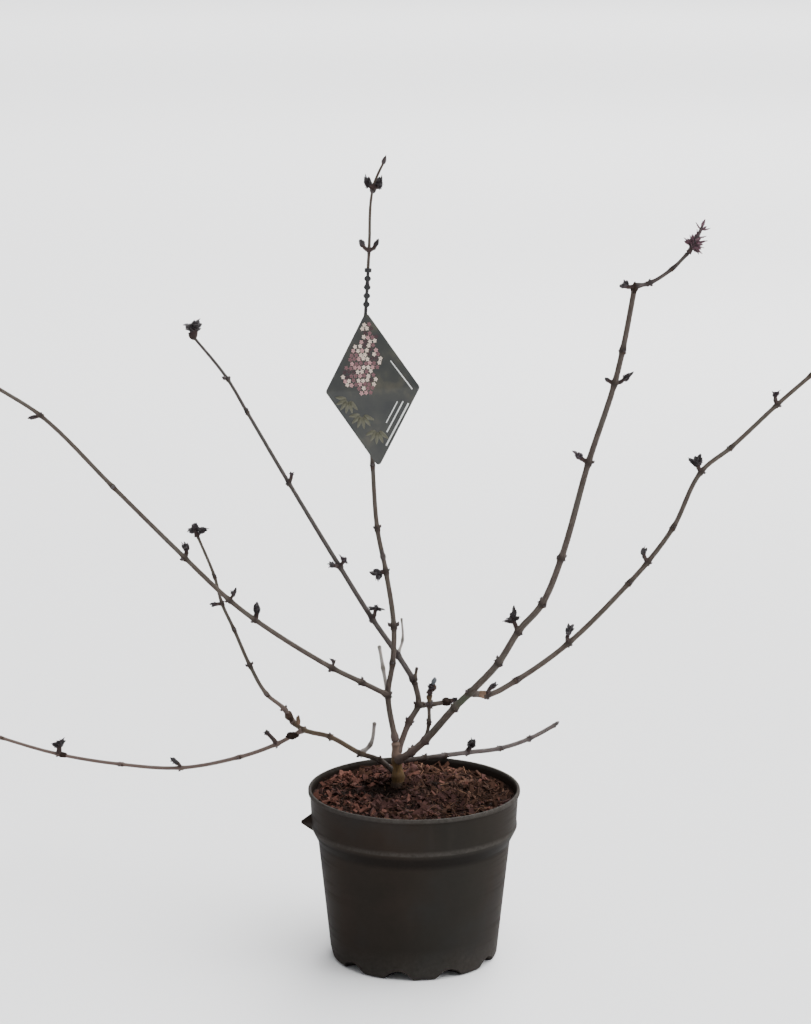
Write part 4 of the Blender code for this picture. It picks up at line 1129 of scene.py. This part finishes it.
# one young leaf in its own place: its stalk, as a line of points with a girth, and five leaflets
def growLeaf(place, length, full, chance, blades, stalks, shapes):
    bow = chance.uniform(-0.10, 0.12) * length
    shoot = length > foliage["shootLength"]
    thick, thin = foliage["shootGirth" if shoot else "stalkGirth"]
    spread = full * (1 if shoot else min(1, foliage["openLength"] / length))
    end = 1.6 if shoot else 1

    def spotAt(part):
        return Vector((part * length, 0, bow * math.sin(math.pi * max(0, part))))

    stalks.append([(place @ spotAt(part * end), thick + (thin - thick) * step / 5)
                   for step, part in enumerate((-0.12, -0.02, 0.10, 0.22, 0.34, 0.46))])

    for at, size, splay, lift in foliage["shootLeaflets" if shoot else "leaflets"]:
        turn = (Matrix.Rotation(math.radians(splay * spread + chance.uniform(-6, 6)), 4, "Z")
                @ Matrix.Rotation(math.radians(chance.uniform(-6, 6) - lift * spread), 4, "Y")
                @ Matrix.Rotation(math.radians(chance.uniform(-25, 25) - splay * 1.4), 4, "X"))
        size *= length * chance.uniform(0.9, 1.08) * full ** 0.35
        breadth = min(size, foliage["broadest"] * full / foliage["leafletWidth"])
        blades.append((chance.choice(shapes["leaflets"]), place @ Matrix.Translation(spotAt(at)) @ turn
                       @ Matrix.Diagonal((size, breadth, breadth, 1))))


def makeLeafFinish(name, dark, pale, sheen):
    finish, tree, shader = newFinish(name, 0.52, Specular_IOR_Level=0.4, Sheen_Weight=sheen,
                                     Sheen_Roughness=0.5)
    mottle = speckle(tree, objectPlace(tree), 420, detail=3)
    tree.links.new(shades(tree, mottle, ((0.3, dark), (0.7, pale))), shader.inputs["Base Color"])
    addRelief(tree, shader, speckle(tree, objectPlace(tree), 1500, detail=3), 0.12 * mm, 0.7)
    return finish


def tintOf(name):
    return next((tint for tint in ("plum", "purple") if name in foliage[tint]), "dark")


def inMetres(copies):
    return [(shape, Matrix.Scale(mm, 4) @ place) for shape, place in copies]


# lines of (point, girth) turned into one mesh of tubes
def growLines(name, lines, sides, finish):
    places = [place for line in lines for place in line]
    edges, first = [], 0
    for line in lines:
        edges += [(first + index, first + index + 1) for index in range(len(line) - 1)]
        first += len(line)
    mesh = bpy.data.meshes.new(name)
    mesh.from_pydata([point * mm for point, girth in places], edges, [])
    mesh.attributes.new("girth", "FLOAT", "POINT").data.foreach_set(
        "value", [girth * mm for point, girth in places])
    return growWith(barkTree(), addObject(name + "Lines", mesh), name, {
        "Sides": sides, "Relief": growth["relief"] * mm, "Grain": growth["grain"], "Seed": 3.3,
        "Finish": finish})


def makeTufts():
    tints = {
        "dark": makeLeafFinish("darkLeaf", (0.008, 0.0055, 0.006), (0.024, 0.016, 0.019), 0.05),
        "purple": makeLeafFinish("purpleLeaf", (0.013, 0.007, 0.010), (0.040, 0.020, 0.029), 0.06),
        "plum": makeLeafFinish("plumLeaf", (0.048, 0.020, 0.028), (0.130, 0.058, 0.078), 0.08),
    }
    shapes = {
        "leaflets": [leafletShape(curl, twist)
                     for curl, twist in ((0.05, 0.1), (0.14, -0.3), (0.22, 0.35), (-0.06, 0.2))],
        "scale": budShape(0.5, 0.34),
    }
    blades = {tint: [] for tint in tints}
    stems, stalks, scales = [], [], []
    rule = random.Random(foliage["seed"])
    for number, (name, recipe) in enumerate(tufts.items()):
        limbName, index, heading, rise, stemLength, leaves = recipe
        chance = random.Random(500 + number)
        blade = blades[tintOf(name)]
        full = foliage["fuller"].get(name, 1)
        way = direction(heading, rise)
        foot = tuftFoot(limbName, index, way)
        node = limbNodes(limbName)[index]
        top = foot + way * stemLength
        outward = (foot - node).normalized()
        line = []
        for step in range(13):
            part = step / 12
            footGirth, middleGirth, topGirth = foliage["stemGirth"]
            girth = middleGirth + (topGirth - middleGirth) * part + (footGirth - middleGirth) * (1 - part) ** 4
            line.append((between(node, top, outward, way, part), girth * full ** 0.8))
        stems.append(line)
        upright = way.to_track_quat("Z", "Y").to_matrix().to_4x4()
        for scale in range(4):
            spot = foot + way * (0.5 + 1.1 * (scale // 2))
            turn = Matrix.Rotation(math.pi * scale + math.pi / 2 * (scale // 2) + chance.uniform(-0.3, 0.3), 4, "Z")
            lean = Matrix.Rotation(math.radians(-90 + chance.uniform(6, 20)), 4, "Y")
            scales.append((shapes["scale"], Matrix.Translation(spot) @ upright @ turn
                           @ Matrix.Translation((0.95, 0, -0.9)) @ lean @ Matrix.Scale(chance.uniform(2.8, 3.8), 4)))
        ways = leafWays(recipe, number, rule)
        for leaf, (leafWay, length) in enumerate(ways):
            reach = stemLength * (0.70 + 0.08 * (leaf // 2))
            place = leafPlace(foot + way * reach, leafWay, way)
            growLeaf(place, length, full, chance, blade, stalks, shapes)
            if full > 1:
                place = place @ Matrix.Rotation(math.radians(80), 4, "X")
                growLeaf(place, length * 0.85, full, chance, blade, stalks, shapes)
        longest = max(length for leafWay, length in ways)
        for leaf in range(foliage["heartLeaves"]):
            lean = math.radians(foliage["heartLean"] * chance.uniform(0.4, 1))
            around = 2 * math.pi * (leaf / foliage["heartLeaves"]) + chance.uniform(-0.4, 0.4)
            leafWay = upright.to_3x3() @ Vector((math.sin(lean) * math.cos(around), math.sin(lean) * math.sin(around),
                                                 math.cos(lean)))
            growLeaf(leafPlace(foot + way * stemLength * 0.85, leafWay, way),
                     longest * foliage["heartShare"] * chance.uniform(0.8, 1.0), full, chance, blade, stalks,
                     shapes)

    for tint, copies in blades.items():
        leaves = joinCopies(tint + "Leaves", inMetres(copies), tints[tint])
        handOver(leaves, "tuft_leaf", *["tuft_" + name for name in tufts if tintOf(name) == tint])
        print(leaves.name, len(leaves.data.polygons))
    shoot = makeBark("shootBark", (0.016, 0.0095, 0.009), (0.046, 0.028, 0.026), (0.014, 0.009, 0.008),
                     (0.032, 0.022, 0.020))
    handOver(growLines("tuftStems", stems, foliage["sides"], shoot), "cane_bark")
    stalkFinish = makeLeafFinish("leafStalk", (0.014, 0.008, 0.009), (0.042, 0.022, 0.025), 0.0)
    handOver(growLines("leafStalks", stalks, 7, stalkFinish), "tuft_leaf")
    scaleFinish = makeLeafFinish("budScale", (0.014, 0.0085, 0.007), (0.042, 0.026, 0.021), 0.0)
    handOver(joinCopies("budScales", inMetres(scales), scaleFinish), "cane_bark")


makeTufts()
print("tufts opened")


# Dormant buds in opposite pairs, leaf scars under them, and a few woody knobs

buds = dict(
    length=2.1, width=0.6, lean=34, scarWidth=1.9, scarHeight=1.25, scarDepth=0.5, scarDrop=1.7,
    # how much larger the buds are at a node that shows them plainly
    larger={("upper_left_cane", 6): 1.7, ("long_left_cane", 6): 1.35, ("centre_stem", 3): 1.7,
            ("long_left_cane", 2): 1.3, ("upper_left_cane", 4): 1.4, ("long_left_cane", 5): 1.4,
            ("rising_left_cane", 3): 1.2, ("cross_twig", 2): 1.7, ("upright_twig", 2): 1.5,
            ("far_right_cane", 1): 1.5, ("right_cane", 12): 1.5, ("low_left_base", 5): 1.6},
    # single long buds: limb, node, how far on, way it points, and length in mm
    single={"leaderTip": ("centre_stem", 10, 0.80, (0.34, 0, 0.94), 9.5),
            "stemSheath": ("centre_stem", 4, 0.24, (-0.16, -0.2, 0.97), 12.5),
            "leaderCollarLeft": ("centre_stem", 9, 0.90, (-0.45, -0.5, 0.74), 6.5),
            "leaderCollarRight": ("centre_stem", 9, 0.90, (0.5, 0.4, 0.77), 6.5),
            "upperLeftSide": ("upper_left_cane", 6, 0.97, (-0.8, -0.2, 0.6), 7.5),
            "lowRightTip": ("low_right_cane", 5, 0.97, (0.58, 0.74, 0.28), 9)},
    singleWidth=0.4,
    # knobs of old wood: limb, node, how far on, half its length, its radius, its colour, and where it
    # doesn't follow the limb, its way and how far it stands off
    knobs={"leftKnob": ("low_left_cane", 0, 0.40, 6.8, 3.5, "dark", (-1, 0, -0.22), 0),
           "risingKnob": ("rising_left_cane", 0, 0.48, 6.2, 3.7, "umber", None, 0),
           "leftStub": ("low_left_base", 4, 0.55, 6.4, 2.0, "tan", (0.03, 0, 1), 4.5),
           "rightFork": ("far_right_cane", 0, 0.72, 6.0, 3.2, "tan", None, 0),
           "rightTop": ("right_cane", 11, 0.97, 4.8, 2.7, "dark", None, 0),
           "twigKnob": ("upright_twig", 2, 0.62, 4.2, 2.5, "brown", None, 0),
           "twigKnobHigh": ("upright_twig", 2, 1.0, 3.9, 2.6, "umber", (0.55, 0, 0.83), 5.5),
           "twigTop": ("upright_twig", 2, 1.0, 3.6, 2.0, "blue", (0.33, 0, 0.94), 11.5),
           "crossKnob": ("cross_twig", 1, 0.80, 4.8, 3.6, "dark", None, 0),
           "crossKnobLow": ("cross_twig", 0, 0.38, 3.3, 2.8, "dark", None, 0),
           "lowLeftKnob": ("low_left_cane", 4, 0.94, 5.5, 2.5, "dark", None, 0)},
)


def makeBuds():
    bud = budShape(buds["width"], buds["width"])
    longBud = budShape(buds["singleWidth"], buds["singleWidth"])
    shape = bmesh.new()
    bmesh.ops.create_icosphere(shape, subdivisions=2, radius=1)
    for corner in shape.verts:
        corner.co *= 1 + 0.22 * noise(corner.co * 1.6)
    ball = keepShape(shape)
    shape = bmesh.new()
    bmesh.ops.create_icosphere(shape, subdivisions=4, radius=1)
    for corner in shape.verts:
        rough = [width * noise(corner.co * often + Vector((often, 0, 0)))
                 for width, often in ((0.30, 1.5), (0.14, 3.5), (0.06, 8))]
        corner.co *= 1 + sum(rough)
    knob = keepShape(shape)
    sprouts, scars = [], []
    taken = {}
    for limbName, index, heading, rise, *rest in tufts.values():
        taken.setdefault((limbName, index), []).append(direction(heading, rise))
    for limb in limbs.values():
        if limb["springs"]:
            taken.setdefault(limb["springs"], []).append(
                direction(limb["heading"], limb["internodes"][0][1]))
    chance = random.Random(21)
    for name, limb in limbs.items():
        if limb["bark"] == "grey" or name == "crown":
            continue
        nodes = limbNodes(name)
        ways = nodeDirections(nodes)
        lengths = [(end - start).length for start, end in zip(nodes, nodes[1:])]
        for index in range(1, len(nodes) - 1):
            along = ways[index]
            used = [(way - way.dot(along) * along).normalized() for way in taken.get((name, index), [])]
            if used:
                outward = used[0]
            else:
                outward = along.cross(Vector((0, 0, 1))).normalized()
                turn = math.radians(90 * (index % 2) + chance.uniform(-20, 20))
                outward = Matrix.Rotation(turn, 3, along) @ outward
            radius = limbRadius(name, sum(lengths[:index]), sum(lengths), 0)
            larger = buds["larger"].get((name, index), 1)
            for side in (outward, -outward):
                if any(side.dot(other) > 0.6 for other in used):
                    continue
                lean = math.radians(buds["lean"] + chance.uniform(-8, 8))
                way = side * math.sin(lean) + along * math.cos(lean)
                length = larger * (buds["length"] + 0.4 * radius) * chance.uniform(0.85, 1.15)
                turn = way.to_track_quat("X", "Z").to_matrix().to_4x4()
                foot = nodes[index] + side * (radius - 0.5)
                sprouts.append((bud, Matrix.Translation(foot) @ turn @ Matrix.Scale(length, 4)))
                across = along.cross(side)
                hug = Matrix((side, across, along)).transposed().to_4x4()
                scar = nodes[index] + side * (radius - 0.35) - along * buds["scarDrop"]
                scars.append((ball, Matrix.Translation(scar) @ hug @ Matrix.Diagonal(
                    (buds["scarDepth"], buds["scarWidth"] * radius / 2.4, buds["scarHeight"], 1))))
    for limbName, node, part, way, size in buds["single"].values():
        nodes = limbNodes(limbName)
        spot = nodes[node].lerp(nodes[node + 1], part)
        turn = Vector(way).normalized().to_track_quat("X", "Z").to_matrix().to_4x4()
        sprouts.append((longBud, Matrix.Translation(spot) @ turn @ Matrix.Scale(size, 4)))
    knobs = {"dark": [], "umber": [], "brown": [], "tan": [], "blue": []}
    for limbName, node, part, half, radius, colour, way, off in buds["knobs"].values():
        nodes = limbNodes(limbName)
        way = Vector(way).normalized() if way else (nodes[node + 1] - nodes[node]).normalized()
        spot = nodes[node].lerp(nodes[node + 1], part) + way * off
        turn = way.to_track_quat("Z", "Y").to_matrix().to_4x4()
        knobs[colour].append((knob, Matrix.Translation(spot) @ turn
                              @ Matrix.Rotation(half, 4, "Z") @ Matrix.Diagonal((radius, radius, half, 1))))
    budFinish = makeLeafFinish("dormantBud", (0.011, 0.0065, 0.007), (0.036, 0.021, 0.020), 0.0)
    handOver(joinCopies("dormantBuds", inMetres(sprouts), budFinish), "cane_bark")
    scarFinish = makeLitterFinish("leafScar", (0.026, 0.017, 0.014), (0.062, 0.045, 0.037), 0.85, 900)
    handOver(joinCopies("leafScars", inMetres(scars), scarFinish), "cane_bark")
    knobShades = {
        "dark": ((0.009, 0.006, 0.005), (0.028, 0.018, 0.014)),
        "umber": ((0.020, 0.0125, 0.0095), (0.060, 0.038, 0.029)),
        "brown": ((0.034, 0.022, 0.013), (0.088, 0.062, 0.040)),
        "tan": ((0.060, 0.038, 0.026), (0.15, 0.098, 0.070)),
        "blue": ((0.040, 0.043, 0.047), (0.105, 0.112, 0.12)),
    }
    for colour, copies in knobs.items():
        finish = makeLitterFinish(colour + "Knob", *knobShades[colour], 0.85, 600)
        handOver(joinCopies(colour + "Knobs", inMetres(copies), finish), "cane_bark")


makeBuds()
print("buds set")


# Hang tag: a card of generic print on a barbed strap, whose collar goes round the centre stem

tag = dict(
    stem="centre_stem", cardTop=(7, 0.41), collarPlace=(8, 0.47), width=92, height=137, corner=3,
    turn=25, tilt=6.5, pitch=3, thickness=0.8, edge=0.12, standOff=2.6,
    strapWidth=1.8, strapOverlap=5, barbs=4, barb=2.0, barbLength=5.0, collarInside=1.9, collarOutside=3.1,
    collarHeight=3.4, ink=0.05,
    # florets in bunches: each one's middle and radius; their pitch, and petals' distance, length and width
    bunches=(((0, -14), 5), ((1, -25), 8), ((-10, -40), 12), ((4, -41), 9), ((-18, -56), 10), ((-6, -61), 12)),
    florets=(4.3, (1.15, 2.0, 1.5)),
    # pale rules: where each starts below the card's top corner, its way in degrees, length and width
    rules=(((20, -44), -54, 32, 1.1), ((34, -82), -124.5, 44, 1.5), ((29, -80), -124.5, 32, 1.2),
           ((23.5, -80), -124.5, 22, 1.0)),
    # sprigs of leaves: middle, how many, first angle and its step
    sprigs=(((-24, -76), 6, 170, 28), ((-12, -90), 6, 185, 30), ((2, -104), 5, 200, 30)),
)


def cardOutline(width, height, corner, lift=0):
    middle = Vector((0, -tag["height"] / 2 + lift))
    outline = []
    for outward in (Vector((0, 1)), Vector((-1, 0)), Vector((0, -1)), Vector((1, 0))):
        halfAngle = math.atan2(width, height)
        reach = height / 2
        if abs(outward.x) > 0.5:
            halfAngle = math.pi / 2 - halfAngle
            reach = width / 2
        centre = middle + outward * (reach - corner / math.sin(halfAngle))
        facing = math.atan2(outward.y, outward.x)
        for step in range(-4, 5):
            angle = facing + step / 4 * (math.pi / 2 - halfAngle)
            outline.append(centre + corner * Vector((math.cos(angle), math.sin(angle))))
    return outline


# flat closed outlines in mm, the ones after the first being holes, filled and thickened
def flatPiece(name, outlines, thickness, height, place, edge=0):
    curve = bpy.data.curves.new(name, "CURVE")
    curve.dimensions = "2D"
    curve.fill_mode = "BOTH"
    curve.extrude = (thickness / 2 - edge) * mm
    curve.bevel_depth = edge * mm
    curve.bevel_resolution = 2
    for outline in outlines:
        spline = curve.splines.new("POLY")
        spline.points.add(len(outline) - 1)
        spline.use_cyclic_u = True
        for point, (x, y) in zip(spline.points, outline):
            point.co = (x * mm, y * mm, 0, 1)
    piece = settle(addObject(name + "Curve", curve), name)
    piece.data.transform(place @ Matrix.Translation((0, 0, height * mm)))
    shape = bmesh.new()
    shape.from_mesh(piece.data)
    bmesh.ops.remove_doubles(shape, verts=shape.verts, dist=0.001 * mm)
    shape.to_mesh(piece.data)
    shape.free()
    return piece


def strapOutline(length):
    half = tag["strapWidth"] / 2
    edge = [(half, 0)]
    for number in range(tag["barbs"]):
        height = tag["strapOverlap"] + (length - tag["strapOverlap"]) * (number + 0.5) / (tag["barbs"] + 1)
        for part in range(9):
            lobe = math.sin(math.pi * part / 8) ** 0.7
            edge.append((half + tag["barb"] * lobe, height + tag["barbLength"] * part / 8))
    edge.append((half, length))
    return edge + [(-x, y) for x, y in reversed(edge)]


# a round-ended petal or leaf outline about a centre, pointing at an angle
def petal(centre, length, width, angle, steps=12):
    outline = []
    for step in range(steps):
        around = 2 * math.pi * step / steps
        x = length / 2 * math.cos(around)
        y = width / 2 * math.sin(around) * (1 - 0.35 * math.cos(around))
        outline.append((centre[0] + x * math.cos(angle) - y * math.sin(angle),
                        centre[1] + x * math.sin(angle) + y * math.cos(angle)))
    return outline


def joinMeshes(name, pieces):
    shape = bmesh.new()
    for piece in pieces:
        shape.from_mesh(piece.data)
        bpy.data.objects.remove(piece, do_unlink=True)
    return shapeToObject(name, shape)


# a thin straight rule on the card
def ruleOutline(start, angle, length, width):
    along = Vector((math.cos(math.radians(angle)), math.sin(math.radians(angle))))
    across = Vector((-along.y, along.x)) * width / 2
    start = Vector(start)
    return [start - across, start + along * length - across, start + along * length + across, start + across]


def makeInk(name, colour, roughness=0.5, coat=0.12):
    finish, tree, shader = newFinish(name, roughness, Coat_Weight=coat, Coat_Roughness=0.4,
                                     Specular_IOR_Level=0.3)
    grain = speckle(tree, objectPlace(tree), 900, detail=2)
    paler = tuple(min(1, part * 1.25 + 0.003) for part in colour)
    tree.links.new(shades(tree, grain, ((0.3, colour), (0.7, paler))), shader.inputs["Base Color"])
    return finish


def makeTag():
    nodes = limbNodes(tag["stem"])
    cardTop, collar = (nodes[node].lerp(nodes[node + 1], part)
                       for node, part in (tag["cardTop"], tag["collarPlace"]))
    beforeStem = Vector((0, -tag["standOff"], 0))
    swing = (Matrix.Rotation(math.radians(-tag["turn"]), 4, "Z")
             @ Matrix.Rotation(math.radians(-tag["pitch"]), 4, "X")
             @ Matrix.Rotation(math.radians(-tag["tilt"]), 4, "Y"))
    place = Matrix.Translation((cardTop + beforeStem) * mm) @ swing @ Matrix.Rotation(math.pi / 2, 4, "X")

    ground, tree, shader = newFinish("tagGround", 0.42, Coat_Weight=0.15, Coat_Roughness=0.4,
                                     Specular_IOR_Level=0.3)
    patches = speckle(tree, objectPlace(tree), 42, detail=4)
    tree.links.new(shades(tree, patches, ((0.32, (0.022, 0.024, 0.024)), (0.55, (0.034, 0.035, 0.031)),
                                          (0.72, (0.066, 0.060, 0.044)))), shader.inputs["Base Color"])
    card = flatPiece("tagCard", [cardOutline(tag["width"], tag["height"], tag["corner"])],
                     tag["thickness"], 0, place, tag["edge"])
    handOver(dress(card, ground, sharp=40), "tag_card", "hang_tag")

    face = tag["thickness"] / 2 + tag["ink"] / 2
    rules = flatPiece("tagRules", [ruleOutline(*rule) for rule in tag["rules"]], tag["ink"], face, place)
    handOver(dress(rules, makeInk("tagPaleInk", (0.58, 0.59, 0.57))), "tag_card")

    # florets of five petals strewn over the bunches, in four colours
    pitch, (off, long, wide) = tag["florets"]
    chance = random.Random(31)
    inks = {"pink": (0.40, 0.21, 0.21), "cream": (0.60, 0.48, 0.40), "rose": (0.15, 0.070, 0.076),
            "wine": (0.040, 0.018, 0.021)}
    petals = {colour: [[] for number in range(5)] for colour in inks}
    for row in range(0, 24):
        for column in range(-8, 8):
            x = (column + row % 2 / 2) * pitch + chance.uniform(-0.5, 0.5)
            y = -row * pitch * 0.87 + chance.uniform(-0.5, 0.5)
            if not any(math.hypot(x - middle[0], y - middle[1]) < radius for middle, radius in tag["bunches"]):
                continue
            if abs(x) / (tag["width"] / 2 - 4) + abs(y + tag["height"] / 2) / (tag["height"] / 2 - 5) > 0.98:
                continue
            colour = chance.choice(("pink", "cream", "cream", "rose", "rose", "wine"))
            turn = chance.uniform(0, 2)
            for number in range(5):
                angle = 2 * math.pi * number / 5 + turn
                centre = (x + off * math.cos(angle), y + off * math.sin(angle))
                petals[colour][number].append(petal(centre, long, wide, angle))
    for colour, groups in petals.items():
        pieces = [flatPiece("petal", outlines, tag["ink"], face, place) for outlines in groups]
        handOver(dress(joinMeshes(colour + "Florets", pieces), makeInk("tag" + colour.title(), inks[colour])),
                 "tag_card")
    sprigs = []
    for (across, down), count, first, step in tag["sprigs"]:
        for number in range(count):
            angle = math.radians(first + step * number)
            centre = (across + 7.5 * math.cos(angle), down + 7.5 * math.sin(angle))
            sprigs.append(flatPiece("sprig", [petal(centre, 11, 3.6, angle)], tag["ink"], face, place))
    handOver(dress(joinMeshes("tagSprigs", sprigs), makeInk("tagSage", (0.075, 0.073, 0.048))), "tag_card")

    # strap and collar
    along = (collar - cardTop).normalized()
    length = (collar - cardTop).length + tag["strapOverlap"]
    front = Vector((0, -1, 0))
    right = along.cross(front).normalized()
    frameTurn = Matrix((right, along, right.cross(along))).transposed().to_4x4()
    origin = cardTop + beforeStem - along * tag["strapOverlap"]
    strap = flatPiece("strap", [strapOutline(length)], tag["thickness"], 0,
                      Matrix.Translation(origin * mm) @ frameTurn, tag["edge"])
    shape = bmesh.new()
    half = tag["collarHeight"] / 2
    inner, outer = tag["collarInside"], tag["collarOutside"]
    corners = [(outer - 0.25, half), (outer, half - 0.25), (outer, 0.25 - half), (outer - 0.25, -half),
               (inner + 0.25, -half), (inner, 0.25 - half), (inner, half - 0.25), (inner + 0.25, half)]
    points = [shape.verts.new((radius * mm, 0, height * mm)) for radius, height in corners]
    for start, end in zip(points, points[1:] + points[:1]):
        shape.edges.new((start, end))
    ring = shapeToObject("ring", shape)
    turn = ring.modifiers.new("turn", "SCREW")
    turn.steps = turn.render_steps = 40
    turn.use_merge_vertices = True
    turn.merge_threshold = 0.01 * mm
    node = tag["collarPlace"][0]
    stemWay = (nodes[node + 1] - nodes[node]).normalized()
    ring.matrix_world = (Matrix.Translation((collar - stemWay * half) * mm)
                         @ stemWay.to_track_quat("Z", "Y").to_matrix().to_4x4())
    ring = settle(ring, "collar")
    handOver(dress(joinMeshes("tagStrap", [strap, ring]), makeInk("tagStrapPlastic", (0.010, 0.009, 0.010), 0.6, 0),
                   sharp=40), "tag_card")


makeTag()
print("tag hung")
